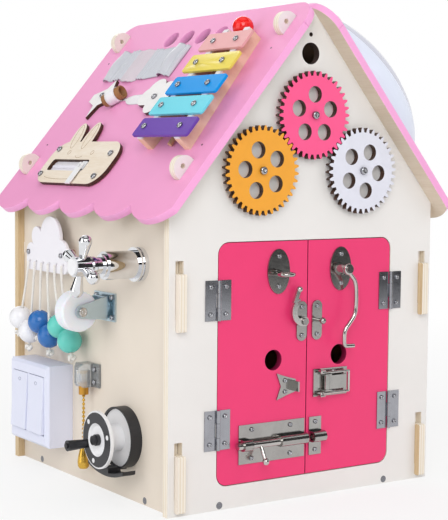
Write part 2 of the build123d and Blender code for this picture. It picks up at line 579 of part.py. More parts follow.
# Pull cord switch with a bead chain and a bell shaped pull
PULL_X, PULL_Y = SIDE - 9.5, -2.0
PULL_PLATE = (19.0, 8.0)
pull_plate = block(SIDE - 4, SIDE, PULL_Y - PULL_PLATE[0], PULL_Y + PULL_PLATE[1], 101, 125)
pull_plate = chamfer(pull_plate.faces().sort_by(Axis.X)[0].edges(), 1.2)
pull_body = block(SIDE - 18, SIDE - 2, PULL_Y - 8.5, PULL_Y + PULL_PLATE[1], 101, 125)
pull_body = chamfer(pull_body.faces().sort_by(Axis.X)[0].edges(), 4.0) + pull_plate
pull_body = pull_body - rod((PULL_X, PULL_Y, 90), (PULL_X, PULL_Y, 118), 5.2)
pull_nozzle = rod((PULL_X, PULL_Y, 93), (PULL_X, PULL_Y, 99), 5)
pull_nozzle = pull_nozzle + rod((PULL_X, PULL_Y, 99), (PULL_X, PULL_Y, 106), 5.15)
pull_nozzle = pull_nozzle - rod((PULL_X, PULL_Y, 90), (PULL_X, PULL_Y, 110), 2.2)
pull_chain = rod((PULL_X, PULL_Y, 40), (PULL_X, PULL_Y, 115), 0.6)
pull_chain = pull_chain + rod((PULL_X, PULL_Y, 114.6), (PULL_X, PULL_Y, 117.7), 4.9)
for k in range(12):
    pull_chain = pull_chain + ball((PULL_X, PULL_Y, 45 + 4.2 * k), 1.6)
bell_line = Polyline((0, 17), (4.2, 17), (5.6, 19), (6.2, 23.5), (5.4, 30), (3.8, 36.5), (2.8, 40.5), (1.6, 42),
                     (0, 42), close=True)
pull_bell = Pos(PULL_X, PULL_Y, 0) * revolve(Plane.XZ * make_face(bell_line), Axis.Z)
pull_bell = pull_bell - rod((PULL_X, PULL_Y, 39), (PULL_X, PULL_Y, 44), 0.65)

# Line reel: black cup with foot, spool with a dished and inlaid front, crank knob
REEL_Y, REEL_Z = -72.0, 61.0
CUP_R, CUP_WALL, CUP_DEEP = 30.0, 1.6, 12.0
FLANGE_R, INLAY_R, DISH_R = 28.0, 26.4, 16.6
reel_frame = turned(REEL_Y, REEL_Z, (0, CUP_DEEP, CUP_R)) - turned(REEL_Y, REEL_Z, (4, 40, CUP_R - CUP_WALL))
reel_frame = reel_frame + turned(REEL_Y, REEL_Z, (3, 6, 9), (5, 38, 3), (35.3, 38, 4.6))
foot = block(SIDE - 24, SIDE - 10, REEL_Y - 6, REEL_Y + 6, REEL_Z - 33, REEL_Z - 27)
foot = foot + block(SIDE - 22, SIDE - 2, REEL_Y - 4, REEL_Y + 4, REEL_Z - 31, REEL_Z - 25)
foot_arc = rod((SIDE - 10, REEL_Y, REEL_Z + 60), (SIDE - 24, REEL_Y, REEL_Z + 60), 96)
foot_arc = foot_arc - rod((SIDE, REEL_Y, REEL_Z + 60), (SIDE - 30, REEL_Y, REEL_Z + 60), 92.5)
foot_arc = foot_arc & block(SIDE - 30, SIDE, REEL_Y - 34, REEL_Y + 34, 0, REEL_Z - 20)
reel_frame = reel_frame + (foot - turned(REEL_Y, REEL_Z, (-2, 40, CUP_R - CUP_WALL))) + foot_arc
spool = turned(REEL_Y, REEL_Z, (7, 9.5, FLANGE_R), (9, 31, 13), (30, 33, FLANGE_R), (33, 33.6, INLAY_R))
dish = cone((SIDE - 34, REEL_Y, REEL_Z), (SIDE - 31.4, REEL_Y, REEL_Z), DISH_R, DISH_R - 3)
spool = spool - dish + turned(REEL_Y, REEL_Z, (31, 35, 5.5)) - turned(REEL_Y, REEL_Z, (4, 40, 3.06))
KNOB_Y, KNOB_Z = REEL_Y + 20.0, REEL_Z - 7.0
KNOB_OUT = 56.0
reel_spool = spool + rod((SIDE - 33, KNOB_Y, KNOB_Z), (SIDE - KNOB_OUT, KNOB_Y, KNOB_Z), 1.5)
knob_cap = (SIDE - KNOB_OUT + 1, KNOB_Y, KNOB_Z)
reel_spool = reel_spool + rod(knob_cap, ahead(knob_cap, (-1, 0, 0), 1.4), 2.6)
reel_knob = cone((SIDE - 34.2, KNOB_Y, KNOB_Z), (SIDE - KNOB_OUT + 1.4, KNOB_Y, KNOB_Z), 4.2, 5.3)
reel_knob = reel_knob - rod((SIDE - 33, KNOB_Y, KNOB_Z), (SIDE - KNOB_OUT, KNOB_Y, KNOB_Z), 1.56)

# Cloud plate on two wooden spacers, with three pairs of bead strings
CLOUD_Y, CORD_Z = 72.0, 221.0
SPACERS = ((CLOUD_Y + 40, 231.0), (CLOUD_Y - 34, 231.0))
cloud = Pos(CLOUD_Y, 224) * RectangleRounded(92, 24, 7) + Pos(CLOUD_Y + 5, 238) * Rectangle(50, 22)
cloud = cloud + Pos(CLOUD_Y - 8, 248.5) * Circle(22) + Pos(CLOUD_Y + 23.5, 248) * Circle(10.5)
cloud = cloud + Pos(CLOUD_Y - 31, 232) * Circle(15) + Pos(CLOUD_Y + 36, 231) * Circle(10)
CORD_R = 1.4
HOLE_Y = [CLOUD_Y - 38 + 15.2 * k for k in range(6)]
for y in HOLE_Y:
    cloud = cloud - Pos(y, CORD_Z) * Circle(CORD_R + 0.2)
cloud_plate = siding(cloud, SIDE - 14, 4)
cloud_spacers = [turned(y, z, (0, 10, 6)) for y, z in SPACERS]
BEAD_R, BEAD_GAP, BEAD_Z = 12.6, 22.4, 152.0
BEAD_STEP = sqrt((2 * BEAD_R + 0.5) ** 2 - BEAD_GAP ** 2)
STRING_X = SIDE - 16.0


def string(k):
    # The beads hang in turn a little higher and lower, so that neighbours pass each other.
    top = (STRING_X, HOLE_Y[k], CORD_Z)
    bead_at = (STRING_X, CLOUD_Y + (k - 2.5) * BEAD_GAP, BEAD_Z + (k % 2 - 0.5) * BEAD_STEP)
    run = (Vector(*bead_at) - Vector(*top)).normalized()
    way = (run.X, run.Y, run.Z)
    tail = ahead(bead_at, way, BEAD_R + 5)
    cord = rod(top, tail, CORD_R) + ball(top, 1.8) + ball(tail, 3.0)
    bead = ball(bead_at, BEAD_R) - rod(ahead(bead_at, way, -20), ahead(bead_at, way, 20), CORD_R + FIT)
    return cord, bead


strings = [string(k) for k in range(6)]

# Screws in the left wall
wall_points = [((SIDE - 14, y, z), 20) for y, z in SPACERS]
wall_points += [((SIDE - 2, CAS_Y + dy, CAS_Z + dz), 9) for dy in (-16, 16) for dz in (-10, 10)]
wall_points += [((SIDE - 4, REEL_Y + dy, REEL_Z + dz), 11) for dy, dz in ((-20, 8), (20, 8), (0, -20))]
wall_points += [((SIDE - 2, SW_Y + dy, SW_Z), 9) for dy in (-35.5, 35.5)]
wall_points += [((SIDE - 4, PULL_Y - 13.5, z), 9) for z in (106.5, 119.5)]
wall_screws = [screw(p, IN_X, length, r=1.6, head=2.6, high=1.6) for p, length in wall_points]


def wall_drilled(piece):
    for p, length in wall_points:
        piece = piece - hole(p, IN_X, length, 1.6)
    return piece


left_wall = wall_drilled(left_wall)
cloud_plate = wall_drilled(cloud_plate)
cloud_spacers = [wall_drilled(p) for p in cloud_spacers]
castor_plate = wall_drilled(castor_plate)
reel_frame = wall_drilled(reel_frame)
switch_box = wall_drilled(switch_box)
pull_body = wall_drilled(pull_body)

# Xylophone on the left roof, in roof coordinates
TOP = PLY
XYLO_V = ROOF_HALF - 75.5
BARS = ((64.5, 76, -0.5), (92.5, 83, 2.0), (121.5, 89, 3.5), (148.0, 94, 3.5), (175.0, 98, 3.5))
BAR_W, BAR_T = 22.5, 3.0
RAIL_H, FELT_T = 15.0, 2.0
RAIL_ENDS = (46.0, 187.0)


def rail_v(s, side):
    t = (s - RAIL_ENDS[0]) / (RAIL_ENDS[1] - RAIL_ENDS[0])
    return XYLO_V + side * (17.5 + 16 * t)


def rail(side, half, h0, h1):
    a, b = RAIL_ENDS
    corners = [(a, rail_v(a, side) - half), (b, rail_v(b, side) - half)]
    corners += [(b, rail_v(b, side) + half), (a, rail_v(a, side) + half)]
    return flat(make_face(Polyline(*corners, close=True)), h0, h1 - h0)


BAR_H = TOP + RAIL_H + FELT_T
DOWN = (0, 0, -1)
bar_points = [(s, rail_v(s, side), BAR_H + BAR_T) for s, _, _ in BARS for side in (-1, 1)]
rails = [drilled(rail(side, 5, TOP, TOP + RAIL_H), bar_points, DOWN, 14, 1.2) for side in (-1, 1)]
felts = [drilled(rail(side, 4, TOP + RAIL_H, BAR_H), bar_points, DOWN, 14, 1.2) for side in (-1, 1)]
bars = []
for s, length, v in BARS:
    bar_face = Pos(s, XYLO_V + v) * RectangleRounded(BAR_W, length, 3)
    bars.append(drilled(flat(bar_face, BAR_H, BAR_T), bar_points, DOWN, 14, 1.2))
bar_screws = [screw(p, DOWN, 14, r=1.2, head=2.6, high=1.2) for p in bar_points]
rail_points = [(s, rail_v(s, side), 0) for s in (78, 162) for side in (-1, 1)]
UP = (0, 0, 1)
rails = [drilled(p, rail_points, UP, 16, 1.5) for p in rails]

# Mallet lying between the rails with its ball above the top bar
MALLET_BALL = (38.0, XYLO_V - 3.5, TOP + 10.8)
MALLET_END = (184.0, XYLO_V + 2.5, TOP + 3.2)
mallet_run = (Vector(*MALLET_END) - Vector(*MALLET_BALL)).normalized()
mallet_way = (mallet_run.X, mallet_run.Y, mallet_run.Z)
mallet_stick = rod(ahead(MALLET_BALL, mallet_way, -3), MALLET_END, 2.5)
mallet_ball = ball(MALLET_BALL, 10.5) - rod(ahead(MALLET_BALL, mallet_way, -3.05), MALLET_END, 2.55)

# Plate of a plain long eared animal with a zip for a mouth
ZIP_S = 213.0
animal = Pos(209, -44) * RectangleRounded(56, 140, 22)
for v, tilt in ((-84, 18), (-58, 6)):
    animal = animal + Pos(180, v) * Rot(0, 0, tilt) * Ellipse(26, 11)
animal = animal - Pos(ZIP_S, -61) * RectangleRounded(15, 80, 4)
PLATE_H = TOP + 1.2
animal_points = [(s, v, PLATE_H + 4) for s, v in ((192, -104), (226, -106), (197, 12), (227, 12))]
animal_plate = drilled(flat(animal, PLATE_H, 4), animal_points, DOWN, 10, 1.5)
zip_tape = block(ZIP_S - 12, ZIP_S + 12, -104, 6, TOP, PLATE_H)
zip_tape = zip_tape + block(ZIP_S - 2, ZIP_S + 2, -100, -22.5, PLATE_H, PLATE_H + 1.0)
SLIDER_V = -28.0
zip_slider = block(ZIP_S - 5, ZIP_S + 5, SLIDER_V - 5, SLIDER_V + 5, PLATE_H + 1.3, PLATE_H + 4.4)
zip_slider = zip_slider + block(ZIP_S - 1.2, ZIP_S + 1.2, SLIDER_V - 2, SLIDER_V + 2, PLATE_H + 4, PLATE_H + 8)
PULL_H = PLATE_H + 6.4
zip_slider = zip_slider - rod((ZIP_S, SLIDER_V - 4, PULL_H), (ZIP_S, SLIDER_V + 4, PULL_H), 0.76)
zip_pull = block(ZIP_S + 2, ZIP_S + 26, SLIDER_V - 4.5, SLIDER_V + 4.5, PULL_H - 0.7, PULL_H + 0.7)
zip_pull = zip_pull - block(ZIP_S - 1, ZIP_S + 5, SLIDER_V - 2.4, SLIDER_V + 2.4, PULL_H - 2, PULL_H + 2)
zip_pull = zip_pull + rod((ZIP_S, SLIDER_V - 4.5, PULL_H), (ZIP_S, SLIDER_V + 4.5, PULL_H), 0.7)
for side in (-1, 1):
    v0, v1 = sorted((SLIDER_V + side * 2.4, SLIDER_V + side * 4.5))
    zip_pull = zip_pull + block(ZIP_S, ZIP_S + 3, v0, v1, PULL_H - 0.7, PULL_H + 0.7)

# Aeroplane plate, kraft tube with a ribbon, and a small cloud plate
plane = make_face(Polyline((146, -104), (128, -99), (125, -92), (104, -90), (91, -97), (104, -103), (112, -124),
                           (122, -124), (128, -108), close=True))
plane_point = (114, -102, TOP + 4)
plane_plate = flat(plane, TOP, 4)
small_cloud = Pos(120, 14) * RectangleRounded(24, 56, 11) + Pos(110, 6) * Circle(14) + Pos(112, 26) * Circle(12)
small_cloud = small_cloud + Pos(130, 20) * Circle(13)
small_cloud_point = (121, 15, TOP + 5)
cloud_small = flat(small_cloud, TOP + 1, 4)
TUBE_R, TUBE_LONG = 7.2, 26.0
TUBE_A = (113.5, -54.0, TOP + TUBE_R + 1.0)
TUBE_WAY = (0.5, -0.866, 0.0)
TUBE_B = ahead(TUBE_A, TUBE_WAY, TUBE_LONG)
tube_bore = rod(ahead(TUBE_A, TUBE_WAY, -1), ahead(TUBE_B, TUBE_WAY, 1), TUBE_R - 1.2)
ribbon_tube = rod(TUBE_A, TUBE_B, TUBE_R) - tube_bore
WRAP_A = ahead(TUBE_A, TUBE_WAY, 6)
WRAP_B = ahead(TUBE_A, TUBE_WAY, 20)
ribbon = rod(WRAP_A, WRAP_B, TUBE_R + 1.0) - rod(TUBE_A, TUBE_B, TUBE_R + FIT)
ribbon_run = make_face(Polyline((112.5, -62), (126, -62), (126, 20), (112.5, 20), close=True))
ribbon = ribbon + (flat(ribbon_run, TOP, 1.0) - rod(TUBE_A, TUBE_B, TUBE_R + FIT))
ribbon = ribbon - hole(small_cloud_point, DOWN, 12, 1.5)

# Fabric strip: two satin rolls with a sheer panel and a ribbed band between them
FAB = (45.0, 90.0)
fabric_rolls = []
for v, r in ((-126, 6.5), (-2, 6.0)):
    roll = rod((FAB[0], v, TOP + 1.2), (FAB[1], v, TOP + 1.2), r)
    fabric_rolls.append(roll & block(0, 200, -200, 200, TOP, 40))
sheer = block(FAB[0] + 1, FAB[1] - 1, -119.4, -8.1, TOP, TOP + 1.0)
for v in (-108, -92):
    sheer = sheer + block(FAB[0] + 1, FAB[1] - 1, v - 4, v + 4, TOP, TOP + 2.2)

# Screws into the left roof
roof_points = animal_points + [plane_point, small_cloud_point]
roof_screws = [screw(p, DOWN, p[2] - 1.5, r=1.5, head=3.4, high=1.4) for p in roof_points]
for p in roof_points:
    cut = hole(p, DOWN, p[2] - 1.5, 1.5)
    roof_left = roof_left - cut
    zip_tape = zip_tape - cut
    plane_plate = plane_plate - cut
    cloud_small = cloud_small - cut
rail_screws = [screw(p, UP, 16, r=1.5, head=3.0, high=1.4) for p in rail_points]
roof_left = drilled(roof_left, rail_points, UP, 16, 1.5)

# Dome lamp on the right roof
LAMP_S, LAMP_V, LAMP_R, LAMP_H = 127.5, -48.0, 124.0, 77.0
LAMP_SEAM, LAMP_WALL = 34.0, 3.0


def lamp_arc(r, h, low, high):
    # Points of an elliptic quarter between two heights, from the wide end up.
    turns = [asin(low / h) + (asin(high / h) - asin(low / h)) * k / 8 for k in range(9)]
    return [(r * cos(a), h * sin(a)) for a in turns]


def lamp_ring(low, high, inside_high):
    outer = lamp_arc(LAMP_R, LAMP_H, low, high)
    inner = lamp_arc(LAMP_R - LAMP_WALL, LAMP_H - LAMP_WALL, low, inside_high)
    profile = make_face(Polyline(*outer, *reversed(inner), close=True))
    return Pos(LAMP_S, LAMP_V, TOP) * revolve(Plane.XZ * profile, Axis.Z)


lamp_base = lamp_ring(0, LAMP_SEAM, LAMP_SEAM) + Pos(LAMP_S, LAMP_V, TOP) * Cylinder(LAMP_R - 2, 3, align=LOW)
lamp_dome = lamp_ring(LAMP_SEAM, LAMP_H, LAMP_H - LAMP_WALL)
lamp_board = Pos(LAMP_S, LAMP_V, TOP + 3) * Cylinder(70, 4, align=LOW)
lamp_points = [(LAMP_S + dx, LAMP_V, 0) for dx in (-85, 85)]
lamp_screws = [screw(p, UP, 10.5, r=1.5, head=3.0, high=1.4) for p in lamp_points]
lamp_base = drilled(lamp_base, lamp_points, UP, 10.5, 1.5)
roof_right = drilled(roof_right, lamp_points, UP, 10.5, 1.5)

for cut in floor_holes:
    front_panel = front_panel - cut
    back_panel = back_panel - cut
    left_wall = left_wall - cut
    right_wall = right_wall - cut
    floor_panel = floor_panel - cut

# Files, one for each node
save("front_panel", front_panel)
save("back_panel", back_panel)
save("left_wall", left_wall)
save("right_wall", right_wall)
save("floor_panel", floor_panel)
save("roof_left", ROOF_L * roof_left)
save("roof_right", ROOF_R * roof_right)
save("floor_screws", *floor_screws)
save("door_left", door_left)
save("door_right", door_right)
save("hinge_leaves_frame", *frame_leaves, *pins)
save("hinge_leaves_left", *leaves_left)
save("hinge_leaves_right", *leaves_right)
save("frame_screws", *small_screws(frame_points), *wall_screws)
save("door_left_screws", *small_screws(left_points))
save("door_right_screws", *small_screws(right_points))
save("latch_plates_left", hook_ring, arm_plate, catch, bolt_plate)
save("latch_plates_right", hook_pivot, arm_post, base, keeper)
save("hook", hook)
save("swing_arm", swing_arm)
save("toggle_lever", lever)
save("toggle_bail", bail)
save("bolt", bolt)
save("gear_pink", gear_pink)
save("gear_orange", gear_orange)
save("gear_white", gear_white)
save("gear_screws", *gear_screws)
save("tap_body", tap_body, tap_nut)
save("tap_handle", tap_handle, tap_cap)
save("castor_plate", castor_plate)
save("castor_fork", castor_fork, castor_axle)
save("castor_wheel", castor_wheel)
save("switch_box", switch_box, switch_module)
save("switch_frame", switch_frame)
save("switch_rocker_a", rockers[0])
save("switch_rocker_b", rockers[1])
save("pull_body", pull_body)
save("pull_nozzle", pull_nozzle)
save("pull_chain", pull_chain, pull_bell)
save("reel_frame", reel_frame)
save("reel_spool", reel_spool)
save("reel_knob", reel_knob)
save("cloud_plate", cloud_plate)
save("cloud_spacers", *cloud_spacers)
save("bead_pair_teal", *strings[0], *strings[1])
save("bead_pair_blue", *strings[2], *strings[3])
save("bead_pair_white", *strings[4], *strings[5])
save("xylophone_rails", *[ROOF_L * p for p in rails + felts])
save("xylophone_bars", *[ROOF_L * p for p in bars])
left_roof_screws = [ROOF_L * p for p in bar_screws + rail_screws + roof_screws]
save("roof_screws", *left_roof_screws, *[ROOF_R * p for p in lamp_screws], *roof_nails)
save("mallet", ROOF_L * mallet_stick, ROOF_L * mallet_ball)
save("animal_plate", ROOF_L * animal_plate)
save("zip_tape", ROOF_L * zip_tape)
save("zip_slider", ROOF_L * zip_slider)
save("zip_pull", ROOF_L * zip_pull)
save("roof_plates", ROOF_L * plane_plate, ROOF_L * cloud_small)
save("ribbon_roll", ROOF_L * ribbon_tube, ROOF_L * ribbon)
save("fabric_strip", ROOF_L * sheer, *[ROOF_L * p for p in fabric_rolls])
save("lamp_base", ROOF_R * lamp_base, ROOF_R * lamp_board)
save("lamp_dome", ROOF_R * lamp_dome)
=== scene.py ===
# %% [markdown]
# # Dressing a busy house
# A plywood play house is loaded as a fixed frame, and this script gives it its looks: paint, plywood
# edges, metal, plastic, cords and cloth. Every length is in metres, and every piece rides on the body
# that carries it.

from math import cos, pi, radians, sin, sqrt, tan

import bmesh
import bpy
from mathutils import Matrix, Vector
from mathutils.geometry import tessellate_polygon


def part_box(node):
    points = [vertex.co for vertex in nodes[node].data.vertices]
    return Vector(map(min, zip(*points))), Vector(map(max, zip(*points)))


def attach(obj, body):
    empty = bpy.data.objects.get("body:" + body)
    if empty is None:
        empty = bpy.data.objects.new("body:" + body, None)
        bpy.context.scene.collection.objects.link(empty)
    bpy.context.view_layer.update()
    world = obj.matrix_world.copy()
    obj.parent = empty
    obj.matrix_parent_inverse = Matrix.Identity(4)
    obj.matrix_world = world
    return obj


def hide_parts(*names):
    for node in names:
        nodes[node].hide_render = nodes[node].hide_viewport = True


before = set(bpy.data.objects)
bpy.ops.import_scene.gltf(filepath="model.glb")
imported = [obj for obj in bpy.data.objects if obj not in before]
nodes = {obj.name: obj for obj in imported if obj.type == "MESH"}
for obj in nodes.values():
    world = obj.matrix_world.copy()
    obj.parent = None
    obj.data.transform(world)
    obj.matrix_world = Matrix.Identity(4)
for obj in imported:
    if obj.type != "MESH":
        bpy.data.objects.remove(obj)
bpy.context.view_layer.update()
MM = 0.001

# %% [markdown]
# ## Camera
# The camera stands where the picture was taken: in front, to the left, a little above the middle of the
# house. A camera can be aimed by eye, but this one's place, turn and lens were solved from the picture's
# own corners, so its matrix is built from the solved directions and the render can be laid over the
# picture.

# %% Camera
CAMERA_AT = Vector((-0.82487, -1.22373, 0.33554))
CAMERA_RIGHT = Vector((0.82645, -0.56293, 0.00939))
CAMERA_DOWN = Vector((-0.03487, -0.06783, -0.99709))
IMAGE_LONG_SIDE = 520
FOCAL_PIXELS = 1379.48
SENSOR_MM = 36.0

camera = bpy.data.objects.new("camera", bpy.data.cameras.new("camera"))
bpy.context.scene.collection.objects.link(camera)
camera.data.sensor_width = SENSOR_MM
camera.data.lens = FOCAL_PIXELS / IMAGE_LONG_SIDE * SENSOR_MM
right = CAMERA_RIGHT.normalized()
up = -CAMERA_DOWN.normalized()
back = right.cross(up)
camera.matrix_world = Matrix((
    (right.x, up.x, back.x, CAMERA_AT.x),
    (right.y, up.y, back.y, CAMERA_AT.y),
    (right.z, up.z, back.z, CAMERA_AT.z),
    (0, 0, 0, 1)))
camera.data.clip_start = 0.01
camera.data.clip_end = 100
bpy.context.scene.camera = camera
bpy.context.scene.view_settings.view_transform = "Standard"
print(f"lens {camera.data.lens:.1f} mm")


# %% [markdown]
# ## Materials and nodes
# A material is a small graph of nodes. Nodes can be drawn by hand in the shader editor, but as short
# functions they can be used again, and each finish below reads as a recipe. Object coordinates keep a
# pattern on its piece when the piece moves.

# %% Materials and nodes
def srgb(code):
    """A colour written as six hex digits, in linear light."""
    parts = [int(code[k:k + 2], 16) / 255 for k in (0, 2, 4)]
    linear = [v / 12.92 if v <= 0.04045 else ((v + 0.055) / 1.055) ** 2.4 for v in parts]
    return (*linear, 1.0)


def new_material(name, rough=0.5, metal=0.0, **sockets):
    """A material with its nodes and its shader; other sockets are named with underscores for spaces."""
    made = bpy.data.materials.new(name)
    made.use_nodes = True
    shader = made.node_tree.nodes["Principled BSDF"]
    shader.inputs["Roughness"].default_value = rough
    shader.inputs["Metallic"].default_value = metal
    for socket, value in sockets.items():
        shader.inputs[socket.replace("_", " ")].default_value = value
    return made, made.node_tree, shader


def add(tree, kind, **settings):
    """A new shader node of a kind."""
    made = tree.nodes.new("ShaderNode" + kind)
    for key, value in settings.items():
        setattr(made, key, value)
    return made


def place(tree, scale=(1, 1, 1)):
    """Object coordinates, which stay with the piece when it moves."""
    source = add(tree, "TexCoord")
    mapping = add(tree, "Mapping")
    mapping.inputs["Scale"].default_value = scale
    tree.links.new(source.outputs["Object"], mapping.inputs["Vector"])
    return mapping.outputs["Vector"]


# %% [markdown]
# ## Patterns
# No real surface has one even colour. A picture of the surface would be one way to show that, but cloudy
# noise has no seams and needs no file. A ramp turns it into colours, and a bump turns it into fine
# relief.

# %% Patterns
def noise(tree, vector, size, detail=4.0, rough=0.55):
    """Cloudy noise whose blotches are about size metres wide."""
    made = add(tree, "TexNoise")
    made.inputs["Scale"].default_value = 1 / size
    made.inputs["Detail"].default_value = detail
    made.inputs["Roughness"].default_value = rough
    tree.links.new(vector, made.inputs["Vector"])
    return made.outputs["Fac"]


def ramp(tree, value, *stops):
    """Colours along a value: each stop is a place and a colour."""
    made = add(tree, "ValToRGB")
    elements = made.color_ramp.elements
    for index, (spot, colour) in enumerate(stops):
        element = elements[index] if index < 2 else elements.new(spot)
        element.position = spot
        element.color = colour
    tree.links.new(value, made.inputs["Fac"])
    return made.outputs["Color"]


def raise_surface(tree, shader, height, strength, depth):
    """Fine relief, as a bump."""
    bump = add(tree, "Bump")
    bump.inputs["Strength"].default_value = strength
    bump.inputs["Distance"].default_value = depth
    tree.links.new(height, bump.inputs["Height"])
    tree.links.new(bump.outputs["Normal"], shader.inputs["Normal"])


def shaded(code, factor):
    """A colour made lighter or darker."""
    return tuple(min(v * factor, 1.0) for v in srgb(code)[:3]) + (1.0,)


# %% [markdown]
# ## Sums on nodes
# A finish often depends on where a face looks, such as paint outside and bare wood inside. Two materials
# on chosen faces would do for a few, but a sum on the face's direction answers for every face at once,
# and a blend takes the answer.

# %% Sums on nodes
def calc(tree, operation, first, second=0.0, third=0.0):
    """A sum on numbers or on other nodes' outputs."""
    made = add(tree, "Math", operation=operation)
    for socket, value in zip(made.inputs, (first, second, third)):
        if isinstance(value, (int, float)):
            socket.default_value = value
        else:
            tree.links.new(value, socket)
    return made.outputs["Value"]


def along(tree, vector, axis):
    """How far a vector reaches along an axis."""
    made = add(tree, "VectorMath", operation="DOT_PRODUCT")
    tree.links.new(vector, made.inputs[0])
    made.inputs[1].default_value = axis
    return made.outputs["Value"]


def normal_along(tree, axis):
    """How far a face looks along an axis: 1 straight along it, -1 straight away."""
    return along(tree, add(tree, "TexCoord").outputs["Normal"], axis)


def blend(tree, share, first, second):
    """The first colour where share is 0, the second where it is 1."""
    made = add(tree, "Mix", data_type="RGBA")
    colours = [s for s in made.inputs if s.type == "RGBA"]
    for socket, value in zip(colours, (first, second)):
        if isinstance(value, tuple):
            socket.default_value = value
        else:
            tree.links.new(value, socket)
    tree.links.new(share, made.inputs["Factor"])
    return [s for s in made.outputs if s.type == "RGBA"][0]


# %% [markdown]
# ## Painted plywood
# The panels are painted on their outer face, and their cut edges show the plies. Paint and edge could be
# two materials on chosen faces, but here one material asks which way a face looks: outward is paint,
# inward is bare wood or a painted back, and the rest is edge. The plies are stripes across the sheet, and
# the paint has the faint stipple of a roller.

# %% Painted plywood
PITCH = radians(50)
LEFT_SLOPE = (-sin(PITCH), 0, cos(PITCH))
RIGHT_SLOPE = (sin(PITCH), 0, cos(PITCH))
PLY_STEP = 1.6 * MM
SANDED_PLIES = ("E6D9C4", "F1E9DC")
BARE_PLIES = ("C4A679", "E2CDA8")
BARE_FACE, PALE_FACE = ("DDC6A0", "C8AA7E"), ("E4D6C3", "DAC9B3")


def wood_colour(tree, light, dark, grain_scale):
    """Fine grain, drawn out along the axis with the smallest scale."""
    fine = noise(tree, place(tree, grain_scale), 1.6 * MM, 5.0, 0.6)
    broad = noise(tree, place(tree, [0.3 * v for v in grain_scale]), 5 * MM, 2.0)
    mixed = calc(tree, "MULTIPLY_ADD", broad, 0.5, calc(tree, "MULTIPLY", fine, 0.5))
    return ramp(tree, mixed, (0.34, srgb(dark)), (0.62, srgb(light)))


def ply_edge(tree, axis, plies):
    """The plies of the cut edge, as stripes across the sheet's thickness."""
    depth = calc(tree, "DIVIDE", along(tree, place(tree), axis), PLY_STEP)
    stripe = calc(tree, "PINGPONG", depth, 1.0)
    return ramp(tree, stripe, (0.25, srgb(plies[0])), (0.75, srgb(plies[1])))


def painted_ply(name, colour, axis, edge=None, inside=None, rough=0.42, plies=SANDED_PLIES,
                bare=BARE_FACE):
    """Painted sheet: axis is its outward normal, edge a painted edge colour, inside a painted back."""
    made, tree, shader = new_material(name, rough, Specular_IOR_Level=0.4)
    cloud = noise(tree, place(tree), 60 * MM, 3.0)
    paint = ramp(tree, cloud, (0.3, shaded(colour, 0.965)), (0.7, srgb(colour)))
    if edge is None:
        edge_colour = ply_edge(tree, axis, plies)
    else:
        edge_colour = ramp(tree, cloud, (0.3, shaded(edge, 0.95)), (0.7, srgb(edge)))
    grain = [1.0, 1.0, 1.0]
    grain[2 if abs(axis[2]) < 0.5 else 1] = 0.07
    raw = wood_colour(tree, *bare, grain) if inside is None else srgb(inside)
    out = normal_along(tree, axis)
    is_front = calc(tree, "GREATER_THAN", out, 0.5)
    is_back = calc(tree, "LESS_THAN", out, -0.5)
    colour_out = blend(tree, is_front, edge_colour, paint)
    tree.links.new(blend(tree, is_back, colour_out, raw), shader.inputs["Base Color"])
    roller = noise(tree, place(tree), 1.4 * MM, 3.0)
    raise_surface(tree, shader, roller, 0.12, 0.15 * MM)
    return made


# %% [markdown]
# ## House paint
# With the recipe ready, each finish is one line: its name, its colour and the way that its painted face
# looks. The shell is cream, the doors are pink, and the roof is a lighter pink with painted edges. The
# colours are the paint's own, without the light, so that they hold under another light too. Only the side
# walls are the front's cream made darker and yellower, as painted shade of the sides.

# %% House paint
front_paint = painted_ply("front_paint", "EBE8E5", (0, -1, 0))
back_paint = painted_ply("back_paint", "EBE8E5", (0, 1, 0), plies=BARE_PLIES)
back_ear_paint = painted_ply("back_ear_paint", "EBE8E5", (0, 1, 0), inside="E9E2D8")
# The side walls: the front's cream made darker and yellower, as painted shade.
left_wall_paint_shaded = painted_ply("left_wall_paint_shaded", "E6DBCD", (-1, 0, 0))
right_wall_paint_shaded = painted_ply("right_wall_paint_shaded", "E6DBCD", (1, 0, 0))
roof_left_paint = painted_ply("roof_left_paint", "EE9FCB", LEFT_SLOPE, edge="F8ABDC", bare=PALE_FACE)
roof_right_paint = painted_ply("roof_right_paint", "EE9FCB", RIGHT_SLOPE, edge="F8ABDC", bare=PALE_FACE)
door_paint = painted_ply("door_paint", "F03A75", (0, -1, 0), edge="8E1B45", inside="E84477", rough=0.36)
print(len(bpy.data.materials), "materials so far")


# %% [markdown]
# ## Laser cut sheets
# The gears and the roof's small plates are cut by laser, which burns their edges dark brown. The edges
# could be chosen face by face, but a gear has hundreds of them, so a face's direction again tells the
# painted flat from the burnt edge.

# %% Laser cut sheets
FRONT_AXIS = (0, 1, 0)


def burnt_sheet(name, colour, axis, rough=0.35, grain=None):
    """A laser cut sheet with dark brown burnt edges."""
    made, tree, shader = new_material(name, rough, Specular_IOR_Level=0.4)
    cloud = noise(tree, place(tree), 14 * MM, 3.0)
    if grain is None:
        face = ramp(tree, cloud, (0.3, shaded(colour, 0.95)), (0.7, srgb(colour)))
    else:
        face = wood_colour(tree, colour, grain, (1.0, 0.12, 1.0))
    smoke = noise(tree, place(tree), 3 * MM, 4.0)
    burnt = ramp(tree, smoke, (0.3, srgb("22120A")), (0.75, srgb("5A3520")))
    flat = calc(tree, "ABSOLUTE", normal_along(tree, axis))
    is_face = calc(tree, "GREATER_THAN", flat, 0.6)
    tree.links.new(blend(tree, is_face, burnt, face), shader.inputs["Base Color"])
    raise_surface(tree, shader, smoke, 0.08, 0.1 * MM)
    return made


